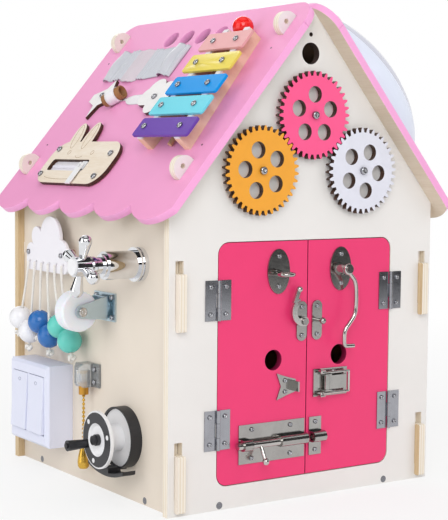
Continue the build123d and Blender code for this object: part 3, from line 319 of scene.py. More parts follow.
gear_pink = burnt_sheet("gear_pink", "FF5A92", FRONT_AXIS)
gear_orange = burnt_sheet("gear_orange", "F4A834", FRONT_AXIS)
gear_white = burnt_sheet("gear_white", "E2E3EE", FRONT_AXIS)
plate_white = burnt_sheet("plate_white", "EDEBEA", LEFT_SLOPE)
animal_wood = burnt_sheet("animal_wood", "EADFD0", LEFT_SLOPE, 0.55, grain="DFCFB9")
print(len(bpy.data.materials), "materials so far")


# %% [markdown]
# ## Metal
# Steel sheet shows the fine marks of rolling, chrome is nearly a mirror, and zinc and brass lie between.
# The shader's anisotropy draws such marks too, but it needs a direction on every mesh. Here all are one
# recipe: noise drawn out along one axis gives the marks, and a broad smear keeps a plate from one even
# grey.

# %% Metal
MARK_SIZE = 0.6 * MM


def metal(name, colour, rough, brush=(1, 1, 1), depth=0.04 * MM):
    """Metal with fine marks drawn out along the axis with the smallest scale."""
    made, tree, shader = new_material(name, rough, 1.0)
    marks = noise(tree, place(tree, brush), MARK_SIZE, 6.0, 0.65)
    smear = noise(tree, place(tree), 12 * MM, 3.0)
    tone = ramp(tree, smear, (0.3, shaded(colour, 0.86)), (0.7, srgb(colour)))
    tree.links.new(tone, shader.inputs["Base Color"])
    spread = calc(tree, "MULTIPLY_ADD", marks, 0.18, rough - 0.09)
    tree.links.new(spread, shader.inputs["Roughness"])
    raise_surface(tree, shader, marks, 0.2, depth)
    return made


steel = metal("steel", "AFADAA", 0.17, (0.06, 1.0, 1.0))
hinge_steel = metal("hinge_steel", "A9AAB0", 0.15, (0.06, 1.0, 1.0), depth=0.02 * MM)
rod_steel = metal("rod_steel", "C8C5C2", 0.14)
dark_screw = metal("dark_screw", "8A8B90", 0.28)
screw_steel = metal("screw_steel", "B4B5BA", 0.2)
chrome = metal("chrome", "E6E7EA", 0.05, depth=0.006 * MM)
zinc = metal("zinc", "BFD2DC", 0.28)
brass = metal("brass", "D8AE4E", 0.26)
nozzle_gold = metal("nozzle_gold", "D09A45", 0.3)
print(len(bpy.data.materials), "materials so far")


# %% [markdown]
# ## Plastic and lacquer
# Switch, wheel, reel and beads have a smooth skin with a slight unevenness in gloss. A flat colour would
# look like a drawing, so a broad cloud shifts colour and gloss a little, with a very low bump.

# %% Plastic and lacquer
PEEL_SIZE, PEEL_DEPTH = 3.5 * MM, 0.006 * MM


def moulded(name, colour, rough=0.3, **sockets):
    """Moulded plastic or lacquer: faint orange peel and a little unevenness in gloss."""
    made, tree, shader = new_material(name, rough, **sockets)
    cloud = noise(tree, place(tree), 25 * MM, 1.0)
    tone = ramp(tree, cloud, (0.3, shaded(colour, 0.99)), (0.7, srgb(colour)))
    tree.links.new(tone, shader.inputs["Base Color"])
    tree.links.new(calc(tree, "MULTIPLY_ADD", cloud, 0.06, rough - 0.03), shader.inputs["Roughness"])
    raise_surface(tree, shader, noise(tree, place(tree), PEEL_SIZE, 1.0), 0.012, PEEL_DEPTH)
    return made


cloud_paint = moulded("cloud_paint", "EEECF2", 0.45)
switch_plastic = moulded("switch_plastic", "E0E3F4", 0.42)
wheel_plastic = moulded("wheel_plastic", "F0F1F8", 0.45, Subsurface_Weight=0.25)
black_plastic = moulded("black_plastic", "232327", 0.42)
white_plastic = moulded("white_plastic", "ECECEE", 0.3)
lamp_base_plastic = moulded("lamp_base_plastic", "E0E6F6", 0.3)
lamp_opal = moulded("lamp_opal", "C2C3D4", 0.2)
clear_plastic = moulded("clear_plastic", "EDF0F2", 0.12, Transmission_Weight=0.75, IOR=1.45)
red_ball = moulded("red_ball", "F0201C", 0.16)
bead_teal = moulded("bead_teal", "66CFC2", 0.24)
bead_blue = moulded("bead_blue", "2A6CB4", 0.24)
bead_white = moulded("bead_white", "EDEDF1", 0.26)
zip_plastic = moulded("zip_plastic", "F0EEF6", 0.35)
mark_grey = moulded("mark_grey", "A9ADC0", 0.4)
BAR_COLOURS = ("E2A8A8", "E4D160", "0494E2", "72D4E4", "6C48A8")
bar_lacquer = [moulded(f"bar_lacquer_{k}", code, 0.25, Specular_IOR_Level=0.15)
               for k, code in enumerate(BAR_COLOURS)]
print(len(bpy.data.materials), "materials so far")


# %% [markdown]
# ## Bare wood and fibre
# The floor, rails and spacers are bare wood, and felt, cord and cloth are short fibres. Wood has grain
# drawn out along its length. Hair could make real fuzz, but at this size a rough bump looks the same,
# with sheen for the light that loose ends catch.

# %% Bare wood and fibre
WOOD_ROUGH = 0.6


def bare_wood(name, light, dark, grain_scale):
    """Sanded wood with its grain."""
    made, tree, shader = new_material(name, WOOD_ROUGH)
    tree.links.new(wood_colour(tree, light, dark, grain_scale), shader.inputs["Base Color"])
    raise_surface(tree, shader, noise(tree, place(tree, grain_scale), 1.2 * MM, 4.0), 0.2, 0.1 * MM)
    return made


def fibre(name, colour, size, rough=0.9, sheen=0.4):
    """Felt, cord and cloth: a fuzzy surface of short fibres."""
    made, tree, shader = new_material(name, rough, Sheen_Weight=sheen)
    fuzz = noise(tree, place(tree), size, 6.0, 0.7)
    tone = ramp(tree, fuzz, (0.3, shaded(colour, 0.82)), (0.7, srgb(colour)))
    tree.links.new(tone, shader.inputs["Base Color"])
    raise_surface(tree, shader, fuzz, 0.5, 0.3 * MM)
    return made


SHEER_SHARE = 0.72
floor_wood = bare_wood("floor_wood", *BARE_FACE, (0.07, 1.0, 1.0))
# The gable holes' walls: laser burn, made darker still as painted shade inside a hole.
burnt_and_shaded_hole = bare_wood("burnt_and_shaded_hole", "63524E", "392C2A", (1.0, 1.0, 0.3))
rail_wood = bare_wood("rail_wood", "F2D2B8", "E0B592", (0.12, 1.0, 0.12))
stick_wood = bare_wood("stick_wood", "D8B48C", "B88C62", (0.12, 1.0, 0.12))
spacer_wood = bare_wood("spacer_wood", "B07A50", "7A4A2C", (0.2, 1.0, 1.0))
felt = fibre("felt", "EFEDF0", 0.7 * MM)
cord_cotton = fibre("cord_cotton", "F1EEE9", 0.9 * MM)
zip_cloth = fibre("zip_cloth", "EEEAF2", 0.8 * MM)
kraft = fibre("kraft", "9C6A3A", 0.9 * MM, 0.6, 0.1)
burnt_ink = fibre("burnt_ink", "B59C7E", 0.6 * MM, 0.8, 0.0)
satin = moulded("satin", "C4C6CD", 0.3, Sheen_Weight=0.25)
ribbon_satin = fibre("ribbon_satin", "F0EEF2", 0.5 * MM, 0.4, 0.6)
sheer_cloth = fibre("sheer_cloth", "EFE3EC", 0.5 * MM, 0.6, 0.5)
sheer_cloth.node_tree.nodes["Principled BSDF"].inputs["Alpha"].default_value = SHEER_SHARE
print(len(bpy.data.materials), "materials in all")


# %% [markdown]
# ## Solids in a node
# Some nodes of the frame hold several solids, such as an axle in its fork. Blender can split a mesh into
# loose parts, but the frame's meshes stay whole, so the faces are grouped here into islands that share
# corners, and each island gets the material of what it is.

# %% Solids in a node
def islands(mesh):
    """The mesh's polygons, grouped by the solid that they belong to."""
    root = {}

    def find(key):
        while root.setdefault(key, key) != key:
            key = root[key]
        return key

    keys = [tuple(round(c, 6) for c in v.co) for v in mesh.vertices]
    for polygon in mesh.polygons:
        first = find(keys[polygon.vertices[0]])
        for index in polygon.vertices[1:]:
            root[find(keys[index])] = first
    groups = {}
    for polygon in mesh.polygons:
        groups.setdefault(find(keys[polygon.vertices[0]]), []).append(polygon)
    return list(groups.values())


def corners(mesh, group):
    """Lowest and highest corner of a group of polygons."""
    points = [mesh.vertices[i].co for polygon in group for i in polygon.vertices]
    low = Vector([min(p[k] for p in points) for k in range(3)])
    high = Vector([max(p[k] for p in points) for k in range(3)])
    return low, high


def coat(node, *materials, choose=None):
    """Gives a node its materials; choose picks one for each solid from its corners."""
    mesh = nodes[node].data
    mesh.materials.clear()
    for item in materials:
        mesh.materials.append(item)
    for group in islands(mesh) if choose else []:
        index = choose(*corners(mesh, group))
        for polygon in group:
            polygon.material_index = index


# %% [markdown]
# ## Coats for the shell
# Panels, roof, doors and gears get their finishes. Materials can be dropped on the pieces by hand, but a
# list can be read and run again. The front and back panels have a second finish, whose faces are chosen
# further down.

# %% Coats for the shell
coat("front_panel", front_paint, burnt_and_shaded_hole)
coat("back_panel", back_paint, back_ear_paint)
coat("left_wall", left_wall_paint_shaded)
coat("right_wall", right_wall_paint_shaded)
coat("roof_left", roof_left_paint)
coat("roof_right", roof_right_paint)
coat("floor_panel", floor_wood)
coat("door_left", door_paint)
coat("door_right", door_paint)
coat("gear_pink", gear_pink)
coat("gear_orange", gear_orange)
coat("gear_white", gear_white)
print("shell coated")

# %% [markdown]
# ## Coats for the fittings
# Hinges, latches, screws and the fittings of the left wall are bought parts of steel, chrome, zinc and
# plastic. Where a node holds two kinds of solid, the size of an island tells which it is: the tap's cap
# is shallow, and the castor's axle is thin.

# %% Coats for the fittings
CAP_DEEP, THIN = 3 * MM, 15 * MM
for name in ("hinge_leaves_frame", "hinge_leaves_left", "hinge_leaves_right"):
    coat(name, hinge_steel)
for name in ("latch_plates_left", "latch_plates_right", "toggle_lever"):
    coat(name, steel)
for name in ("hook", "swing_arm", "toggle_bail", "bolt"):
    coat(name, rod_steel)
for name in ("floor", "frame", "door_left", "door_right", "roof", "gear"):
    coat(f"{name}_screws", dark_screw)
coat("tap_body", chrome)
coat("tap_handle", chrome, white_plastic, choose=lambda low, high: int(high.x - low.x < CAP_DEEP))
coat("castor_plate", zinc)
coat("castor_fork", zinc, rod_steel, choose=lambda low, high: int(high.x - low.x < THIN))
coat("castor_wheel", wheel_plastic)
for name in ("switch_box", "switch_frame", "switch_rocker_a", "switch_rocker_b"):
    coat(name, switch_plastic)
coat("pull_body", clear_plastic)
coat("pull_nozzle", nozzle_gold)
coat("pull_chain", brass)
coat("reel_frame", black_plastic)
coat("reel_spool", white_plastic, black_plastic)
coat("reel_knob", black_plastic)
print("fittings coated")

# %% [markdown]
# ## Coats for toys and roof
# The cloud with its beads and the roof's toys and lamp come last. A cord is thin beside its bead, and the
# mallet's ball is as wide as it is deep. The xylophone's bars take their colours from the top down.

# %% Coats for toys and roof
ROUND_WITHIN = 2 * MM
coat("cloud_plate", cloud_paint)
coat("cloud_spacers", spacer_wood)
for name, bead in (("teal", bead_teal), ("blue", bead_blue), ("white", bead_white)):
    coat(f"bead_pair_{name}", bead, cord_cotton, choose=lambda low, high: int(high.x - low.x < THIN))
coat("xylophone_rails", rail_wood, felt)
coat("animal_plate", animal_wood)
coat("zip_tape", zip_cloth)
coat("zip_slider", white_plastic)
coat("zip_pull", white_plastic)
coat("roof_plates", plate_white)
coat("ribbon_roll", kraft)
coat("fabric_strip", satin)
coat("lamp_base", lamp_base_plastic)
coat("lamp_dome", lamp_opal)
coat("mallet", stick_wood, red_ball,
     choose=lambda low, high: int(abs((high.x - low.x) - (high.y - low.y)) < ROUND_WITHIN))
bars = nodes["xylophone_bars"].data
bar_heights = sorted((corners(bars, group)[1].z for group in islands(bars)), reverse=True)
coat("xylophone_bars", *bar_lacquer, choose=lambda low, high: bar_heights.index(high.z))
print(sum(bool(part.data.materials) for part in nodes.values()), "of", len(nodes), "nodes coated")

# %% [markdown]
# ## Faces of one solid
# A few solids carry two finishes: the gable's holes are burnt by the laser that cut them, and their walls
# are made darker still as painted shade inside the holes; a white felt strip lies on each rail, and the back
# panel is painted where its ears come through the roof. Painting them by hand in edit mode would work, but
# a rule on each face's place holds whatever the mesh's triangles are.

# %% Faces of one solid
HALF_WIDTH, EAVE = 160.0, 288.0
APEX = round(EAVE + HALF_WIDTH * tan(PITCH), 4)
RIDGE = Vector((0, 0, APEX * MM))
GABLE_HOLES = ((44.28 * MM, 10.5 * MM), (26.08 * MM, 2.1 * MM))
HOLE_SLACK, SIDEWAYS = 1.02, 0.5
FELT_FROM = 23.02 * MM
EARS_FROM = (EAVE + 2.0) * MM
# The gable holes' walls get the burnt colour, which is darkened further as painted shade.
for polygon in nodes["front_panel"].data.polygons:
    for down, radius in GABLE_HOLES:
        reach = sqrt(polygon.center.x ** 2 + (polygon.center.z - RIDGE.z + down) ** 2)
        if reach < HOLE_SLACK * radius and abs(polygon.normal.y) < SIDEWAYS:
            polygon.material_index = 1
for polygon in nodes["xylophone_rails"].data.polygons:
    polygon.material_index = int((polygon.center - RIDGE).dot(Vector(LEFT_SLOPE)) > FELT_FROM)
for polygon in nodes["back_panel"].data.polygons:
    polygon.material_index = int(polygon.center.z > EARS_FROM)
for name in ("front_panel", "xylophone_rails", "back_panel"):
    second = sum(polygon.material_index for polygon in nodes[name].data.polygons)
    print(name, second, "faces of the second finish")

# %% [markdown]
# ## Reel faces
# The spool is one turned part with a black inlaid ring and a black hub. Rings round its axis are easy to
# tell apart by their reach from it, so the faces are chosen by that and by how far they stand off the
# wall.

# %% Reel faces
WALL_FACE = -152.5
REEL_Y, REEL_Z = -72.0, 61.0
INLAY_OUT, INLAY_IN, HUB_RADIUS = 26.6 * MM, 16.4 * MM, 5.7 * MM
SPOOL_FACE, SPOOL_DISH = (WALL_FACE - 32.95) * MM, (WALL_FACE - 31.2) * MM
black_faces = 0
for polygon in nodes["reel_spool"].data.polygons:
    spot = polygon.center
    reach = sqrt((spot.y - REEL_Y * MM) ** 2 + (spot.z - REEL_Z * MM) ** 2)
    on_inlay = spot.x < SPOOL_FACE and INLAY_IN < reach < INLAY_OUT
    on_hub = spot.x < SPOOL_DISH and reach < HUB_RADIUS
    polygon.material_index = int(on_inlay or on_hub)
    black_faces += polygon.material_index
print(black_faces, "black faces on the spool")

# %% [markdown]
# ## Softened edges
# Real panels and plates have slightly rounded edges that catch the light. A bevel in edit mode would
# change the frame's meshes, which stay as they are, so modifiers do it: a Weld joins split corners, a
# planar Decimate makes whole flats of the triangles, and a Bevel rounds what is sharper than a set angle
# and keeps the flats flat.

# %% Softened edges
EDGE_ANGLE, FLAT_WITHIN = radians(42), radians(1.5)
WELD_WITHIN = 0.002 * MM
EDGE_SEGMENTS = 2


def soften(node, width_mm):
    """Rounds the sharp edges of a node by a width in mm."""
    part = nodes[node]
    weld = part.modifiers.new("weld", "WELD")
    weld.merge_threshold = WELD_WITHIN
    flats = part.modifiers.new("whole_flats", "DECIMATE")
    flats.decimate_type = "DISSOLVE"
    flats.angle_limit = FLAT_WITHIN
    bevel = part.modifiers.new("soft_edge", "BEVEL")
    bevel.width = width_mm * MM
    bevel.segments = EDGE_SEGMENTS
    bevel.limit_method = "ANGLE"
    bevel.angle_limit = EDGE_ANGLE
    bevel.use_clamp_overlap = False
    bevel.harden_normals = True


SOFT_EDGES = {
    0.5: ("roof_left", "roof_right", "door_left", "door_right"),
    0.4: ("xylophone_bars", "switch_frame", "switch_rocker_a", "switch_rocker_b", "switch_box",
          "cloud_plate"),
}
for width, names in SOFT_EDGES.items():
    for name in names:
        soften(name, width)
print("softened", sum(len(names) for names in SOFT_EDGES.values()), "nodes")


# %% [markdown]
# ## Making pieces
# New pieces are plain meshes: a list of points and a list of faces. A piece rides on the body that
# carries it and takes the finishes that it is given. Points on the left roof are given down the
# slope, along the ridge and off the underside, so a plate's place reads as it does on the bench.

# %% Piece helpers
ROOF_TOP = 8.0


def on_roof(s, v, h):
    """A point of the left roof: s mm down the slope, v mm towards the front, h mm off the underside."""
    return Vector((-cos(PITCH) * s - sin(PITCH) * h, -v, APEX - sin(PITCH) * s + cos(PITCH) * h)) * MM


def make_piece(name, points, faces, body, slot, *materials, smooth=True):
    """A mesh object that rides on a body and takes the finishes given; slot is not used."""
    mesh = bpy.data.meshes.new(name)
    mesh.from_pydata([tuple(p) for p in points], [], faces)
    mesh.validate()
    for item in materials:
        mesh.materials.append(item)
    turned_out = bmesh.new()
    turned_out.from_mesh(mesh)
    bmesh.ops.recalc_face_normals(turned_out, faces=turned_out.faces)
    turned_out.to_mesh(mesh)
    turned_out.free()
    if smooth:
        mesh.shade_smooth()
    else:
        mesh.shade_flat()
    made = bpy.data.objects.new(name, mesh)
    bpy.context.scene.collection.objects.link(made)
    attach(made, body)
    return made


def grid_faces(rows, columns, wrap_rows=False, wrap_columns=False, start=0):
    """Quads of a grid of points, row after row, closed round where asked."""
    faces = []
    for r in range(rows if wrap_rows else rows - 1):
        for c in range(columns if wrap_columns else columns - 1):
            a, b = r, (r + 1) % rows
            d = (c + 1) % columns
            faces.append([start + a * columns + c, start + a * columns + d, start + b * columns + d,
                          start + b * columns + c])
    return faces


# %% [markdown]
# ## Turned and bent shapes
# Beads, rivets and dots are turned, and cords, knots and hooks are round stock along a line. Blender's
# Screw modifier and a curve's bevel make such shapes too; as lists of points several can be joined into
# one piece.

# %% Turned and bent shapes
def upright(way):
    """A turn that points the Z axis along a direction."""
    return Vector(way).to_track_quat("Z", "Y").to_matrix()


def lathe(profile, at, way, segments=28):
    """A closed profile of (radius, height) in mm, turned about an axis."""
    turn = upright(way)
    points = []
    for radius, height in profile:
        for k in range(segments):
            angle = 2 * pi * k / segments
            points.append(Vector(at) + turn @ Vector((radius * cos(angle), radius * sin(angle), height)) * MM)
    return points, grid_faces(len(profile), segments, wrap_rows=True, wrap_columns=True)


FIRST_SIDE = Vector((0.31, 0.83, 0.46))


def tube(line, radius, sides=8, ends=True):
    """A round tube, radius mm thick, along a list of points."""
    points = []
    faces = grid_faces(len(line), sides, wrap_columns=True)
    side = FIRST_SIDE
    for k, at in enumerate(line):
        run = (line[min(k + 1, len(line) - 1)] - line[max(k - 1, 0)]).normalized()
        side = (side - run * side.dot(run)).normalized()
        across = run.cross(side)
        for j in range(sides):
            angle = 2 * pi * j / sides
            points.append(at + (side * cos(angle) + across * sin(angle)) * radius * MM)
    if ends:
        faces.append(list(range(sides)))
        faces.append(list(range(len(points) - sides, len(points))))
    return points, faces


def joined(*shapes):
    """Several lists of points and faces as one."""
    points, faces = [], []
    for more_points, more_faces in shapes:
        faces += [[i + len(points) for i in face] for face in more_faces]
        points += more_points
    return points, faces


def closed_tube(line, radius, sides=8):
    """A tube along a closed line."""
    return tube(line + line[:1], radius, sides, ends=False)


def thicken(piece, thick_mm, offset=0.0):
    """Gives a sheet its thickness."""
    thickness = piece.modifiers.new("thickness", "SOLIDIFY")
    thickness.thickness = thick_mm * MM
    thickness.offset = offset


# %% [markdown]
# ## Twisted cord
# Cotton cord is twisted from strands. One smooth pipe with a bump would do from afar, but the strands
# show at the edge too, so three thin tubes are wound round the cord's line. That line is a NURBS spline,
# which bends as a cord does, with no corners.

# %% Twisted cord
CORD_RADIUS = 1.4
STRANDS, STRAND_SIDES = 3, 7
STRAND_RADIUS, STRAND_OUT, STRAND_TURN = 0.78, 0.62, 7.0
ROUTE_ORDER, ROUTE_STEPS = 3, 30


def spline_points(name, controls):
    """Points along a smooth NURBS route through the control points' neighbourhood."""
    data = bpy.data.curves.new(name, "CURVE")
    data.dimensions = "3D"
    spline = data.splines.new("NURBS")
    spline.points.add(len(controls) - 1)
    for point, at in zip(spline.points, controls):
        point.co = (*at, 1.0)
    spline.order_u = ROUTE_ORDER
    spline.use_endpoint_u = True
    spline.resolution_u = ROUTE_STEPS
    holder = bpy.data.objects.new(name, data)
    mesh = bpy.data.meshes.new_from_object(holder)
    line = [v.co.copy() for v in mesh.vertices]
    bpy.data.objects.remove(holder)
    bpy.data.meshes.remove(mesh)
    return line


def line_length(line):
    """The length of a line of points."""
    return sum((b - a).length for a, b in zip(line, line[1:]))


def twisted(line):
    """Strands wound round a line."""
    shapes = []
    for strand in range(STRANDS):
        route = []
        gone = 0.0
        side = Vector((1, 0, 0))
        for k, at in enumerate(line):
            if k:
                gone += (at - line[k - 1]).length
            run = (line[min(k + 1, len(line) - 1)] - line[max(k - 1, 0)]).normalized()
            side = (side - run * side.dot(run)).normalized()
            angle = 2 * pi * (gone / (STRAND_TURN * MM) + strand / STRANDS)
            route.append(at + (side * cos(angle) + run.cross(side) * sin(angle)) * STRAND_OUT * MM)
        shapes.append(tube(route, STRAND_RADIUS, STRAND_SIDES))
    return joined(*shapes)


# %% [markdown]
# ## Bead and knot
# A wooden bead is turned, with a bore for its cord and a small lip round it. The knot under it could be a
# plain ball, but it is a true overhand knot: a trefoil line with a tube round it. The cord's frayed end
# is a tuft of thin fibres.

# %% Bead and knot
BEAD_RADIUS = 12.6
BORE_SLACK, LIP_ANGLE, LIP_DEEP, BEAD_RINGS = 0.25, 0.12, 0.35, 23
KNOT_SCALE, KNOT_CORD, KNOT_STEPS = 1.05, 1.7, 60
FRAY_COUNT, FRAY_RADIUS, FRAY_TURN = 14, 0.22, 2.4
FRAY_LONG, FRAY_SHORTER = 5.2, 0.09
FRAY_SPREAD, FRAY_WIDER = 0.35, 0.13
FRAY_MIDDLE, FRAY_ROOT = 3.4, 0.8


def bead_shape(at, way):
    """A bead with its bore."""
    bore = CORD_RADIUS + BORE_SLACK
    tilt = bore / BEAD_RADIUS + LIP_ANGLE
    arc = [tilt + (pi - 2 * tilt) * k / (BEAD_RINGS - 1) for k in range(BEAD_RINGS)]
    outside = [(BEAD_RADIUS * sin(a), BEAD_RADIUS * cos(a)) for a in arc]
    lip = BEAD_RADIUS * cos(tilt) - LIP_DEEP
    return lathe([(bore, lip)] + outside + [(bore, -lip)], at, way)


def overhand_knot(at, way):
    """A small knot with its frayed end."""
    turn = upright(way)
    loop = []
    for k in range(KNOT_STEPS):
        t = 2 * pi * k / KNOT_STEPS
        spot = Vector((sin(t) + 2 * sin(2 * t), cos(t) - 2 * cos(2 * t), -1.5 * sin(3 * t)))
        loop.append(Vector(at) + turn @ spot * KNOT_SCALE * MM)
    shapes = [closed_tube(loop, KNOT_CORD, 8)]
    for k in range(FRAY_COUNT):
        angle = FRAY_TURN * k
        spread = FRAY_SPREAD + FRAY_WIDER * k
        end = Vector((spread * cos(angle), spread * sin(angle), FRAY_LONG - FRAY_SHORTER * k))
        middle = Vector((0.5 * end.x, 0.5 * end.y, FRAY_MIDDLE))
        root = Vector((0.2 * end.x, 0.2 * end.y, FRAY_ROOT))
        shapes.append(tube([Vector(at) + turn @ p * MM for p in (root, middle, end)], FRAY_RADIUS, 5))
    return joined(*shapes)


# %% [markdown]
# ## Bead strings
# Six cords hang from the cloud, each through a bead with a knot under it, in three tied pairs. Hanging
# them by a simulation would move them a little on each run, so each has a short route of five points: out
# of the cloud's hole, down, and through its bead. The beads of a pair hang one a little over the other,
# so that they lie close and don't cross.

# %% Bead strings
STRINGS = 6
STRING_OUT = WALL_FACE - 16.0
CLOUD_MIDDLE, CORD_TOP = 72.0, 221.0
HOLE_STEP, BEAD_STEP = 15.2, 22.4
BEAD_HEIGHT = 152.0
BEAD_GAP = 0.5
BEAD_STAGGER = sqrt((2 * BEAD_RADIUS + BEAD_GAP) ** 2 - BEAD_STEP ** 2)
TAIL_BELOW, ABOVE_BEAD = BEAD_RADIUS + 5.0, BEAD_RADIUS + 6.0
CORD_HANG = Vector((-0.8, 0, -14)) * MM
BEAD_PAIRS = (("teal", bead_teal), ("blue", bead_blue), ("white", bead_white))
for k in range(STRINGS):
    colour, lacquer = BEAD_PAIRS[k // 2]
    off_middle = k - (STRINGS - 1) / 2
    body = f"bead_{colour}"
    top = Vector((STRING_OUT, CLOUD_MIDDLE + off_middle * HOLE_STEP, CORD_TOP)) * MM
    height = BEAD_HEIGHT + (k % 2 - 0.5) * BEAD_STAGGER
    middle = Vector((STRING_OUT, CLOUD_MIDDLE + off_middle * BEAD_STEP, height)) * MM
    way = (middle - top).normalized()
    above = middle - way * ABOVE_BEAD * MM
    tail = middle + way * TAIL_BELOW * MM
    route = spline_points("route", [top, top + CORD_HANG, above, middle, tail])
    cord = make_piece(f"bead_cord_{k}", *twisted(route), body, f"bead_{colour}", cord_cotton)
    bead = make_piece(f"bead_{k}", *bead_shape(middle, way), body, f"bead_{colour}", lacquer)
    knot = make_piece(f"bead_knot_{k}", *overhand_knot(tail, way), body, f"bead_{colour}", cord_cotton)
    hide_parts(f"bead_pair_{colour}")
    print(f"string {k}: {line_length(route) * 1000:.1f} mm of cord")

# %% [markdown]
# ## Fabric strip
# A child feels the different cloths here: satin that stands up in a bulge at both ends, ribbed bands, and
# a sheer middle with loose edges. Cloth simulation could drape it, but it is sewn down in set folds, so a
# function gives the height of the cloth at each place along the strip.

# %% Folds of the strip
BULGES = ((-126.0, 6.2), (-12.0, 8.0), (0.0, 4.0))
RIB_BANDS = ((-112.0, -97.0), (-62.0, -47.0))
RIB_STEP, RIB_HIGH = 5.0, 1.15
CREASED_V = (-47.0, -22.0)
CLOTH_LIES = 0.5
SHEER_V = (-97.0, -62.0)
BULGE_ENDS, BULGE_SWELL = 0.82, 0.18
SHEER_LIFT, SHEER_SLANT, SHEER_RIPPLE = 1.6, 0.9, 0.35
CREASE_HIGH = 0.45


def along_sheer(v):
    """How far along the sheer middle a place lies, from 0 to 1."""
    return (v - SHEER_V[0]) / (SHEER_V[1] - SHEER_V[0])


def strip_height(v, across):
    """Height of the cloth above the roof, in mm."""
    high = CLOTH_LIES
    for middle, radius in BULGES:
        if abs(v - middle) < radius:
            rise = sqrt(radius ** 2 - (v - middle) ** 2) * (BULGE_ENDS + BULGE_SWELL * cos(pi * across))
            high = max(high, CLOTH_LIES + rise)
    for low_v, high_v in RIB_BANDS:
        if low_v < v < high_v:
            high += RIB_HIGH * (1 - cos(2 * pi * (v - low_v) / RIB_STEP))
    t = along_sheer(v)
    if 0 < t < 1:
        ripple = SHEER_RIPPLE * sin(9 * t + 3 * across)
        high += (SHEER_LIFT + SHEER_SLANT * across) * sin(pi * t) ** 2 + ripple
    if CREASED_V[0] < v < CREASED_V[1]:
        high += CREASE_HIGH * (1 + sin(1.9 * v + 2 * across))
    return high


# %% [markdown]
# ## Sheet of the strip
# One grid of points follows the folds from end to end, the sheer middle gets a finish of its own, and a
# Solidify gives the sheet its thickness. The cloth's cut length is measured along the folds.

# %% Sheet of the strip
STRIP_V = (-132.4, 4.0)
STRIP_S = (46.0, 89.0)
CLOTH_THICK = 0.35
STRIP_ROWS, STRIP_COLUMNS = 260, 22
SHEER_REACH, LOOSE_EDGE, STRIP_SWAY = 5.5, 0.5, 1.2


def strip_place(row):
    """Where a row of the strip's points lies along the ridge."""
    return STRIP_V[0] + (STRIP_V[1] - STRIP_V[0]) * row / (STRIP_ROWS - 1)


def strip_point(row, column):
    """A point of the strip; its sheer middle hangs out over its lower edge."""
    v = strip_place(row)
    across = 2 * column / (STRIP_COLUMNS - 1) - 1
    t = along_sheer(v)
    reach = SHEER_REACH * sin(pi * t) ** 0.7 + LOOSE_EDGE * sin(40 * t) if 0 < t < 1 else 0.0
    s = (STRIP_S[0] + STRIP_S[1]) / 2 + across * ((STRIP_S[1] - STRIP_S[0]) / 2 + reach * (across > 0))
    s += STRIP_SWAY * sin(0.09 * v)
    return on_roof(s, v, ROOF_TOP + strip_height(v, across))


strip_points = [strip_point(r, c) for r in range(STRIP_ROWS) for c in range(STRIP_COLUMNS)]
strip_faces = grid_faces(STRIP_ROWS, STRIP_COLUMNS)
strip = make_piece("fabric_strip_cloth", strip_points, strip_faces, "house", "satin", satin, sheer_cloth)
for polygon in strip.data.polygons:
    v = strip_place(polygon.vertices[0] // STRIP_COLUMNS)
    polygon.material_index = int(SHEER_V[0] - 1 < v < SHEER_V[1] + 1)
strip_long = line_length([strip_point(r, STRIP_COLUMNS // 2) for r in range(STRIP_ROWS)])
thicken(strip, CLOTH_THICK, 1.0)
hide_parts("fabric_strip")

# %% [markdown]
# ## Paper tube
# A short kraft tube lies at a slant on the roof and holds the ribbon. A cylinder would have no wall, so a
# profile with an outside, an inside and eased ends is carried round the tube's axis.

# %% Paper tube
TUBE_RADIUS, TUBE_LONG, TUBE_WALL = 7.2, 26.0, 1.2
TUBE_FOOT = (113.5, -54.0)
TUBE_WAY = (0.5, -0.866)
TUBE_SIDES, TUBE_EASE, TUBE_LIFT = 36, 0.4, 1.0


def tube_point(along_mm, radius, angle):
    """A point round the tube's axis, which lies on the roof at a slant."""
    s = TUBE_FOOT[0] + TUBE_WAY[0] * along_mm - TUBE_WAY[1] * radius * cos(angle)
    v = TUBE_FOOT[1] + TUBE_WAY[1] * along_mm + TUBE_WAY[0] * radius * cos(angle)
    return on_roof(s, v, ROOF_TOP + TUBE_RADIUS + TUBE_LIFT + radius * sin(angle))


PAPER_PROFILE = (
    (TUBE_RADIUS, TUBE_EASE),
    (TUBE_RADIUS, TUBE_LONG - TUBE_EASE),
    (TUBE_RADIUS - TUBE_EASE, TUBE_LONG),
    (TUBE_RADIUS - TUBE_WALL, TUBE_LONG),
    (TUBE_RADIUS - TUBE_WALL, 0.0),
    (TUBE_RADIUS - TUBE_EASE, 0.0),
)
paper_points = []
for radius, far in PAPER_PROFILE:
    paper_points += [tube_point(far, radius, 2 * pi * k / TUBE_SIDES) for k in range(TUBE_SIDES)]
paper_faces = grid_faces(len(PAPER_PROFILE), TUBE_SIDES, True, True)
paper_tube = make_piece("ribbon_tube", paper_points, paper_faces, "house", "kraft", kraft)
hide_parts("ribbon_roll")
print(f"tube {TUBE_LONG:.0f} mm long")

# %% [markdown]
# ## Ribbon
# The ribbon is wound round the tube and runs off under the small cloud. A curve with a bevel gives a flat
# band too, but its twist is hard to steer, so the winding is a spiral of rows of points. It leaves the
# tube at its foot, and the run eases from there to its waves on the roof.

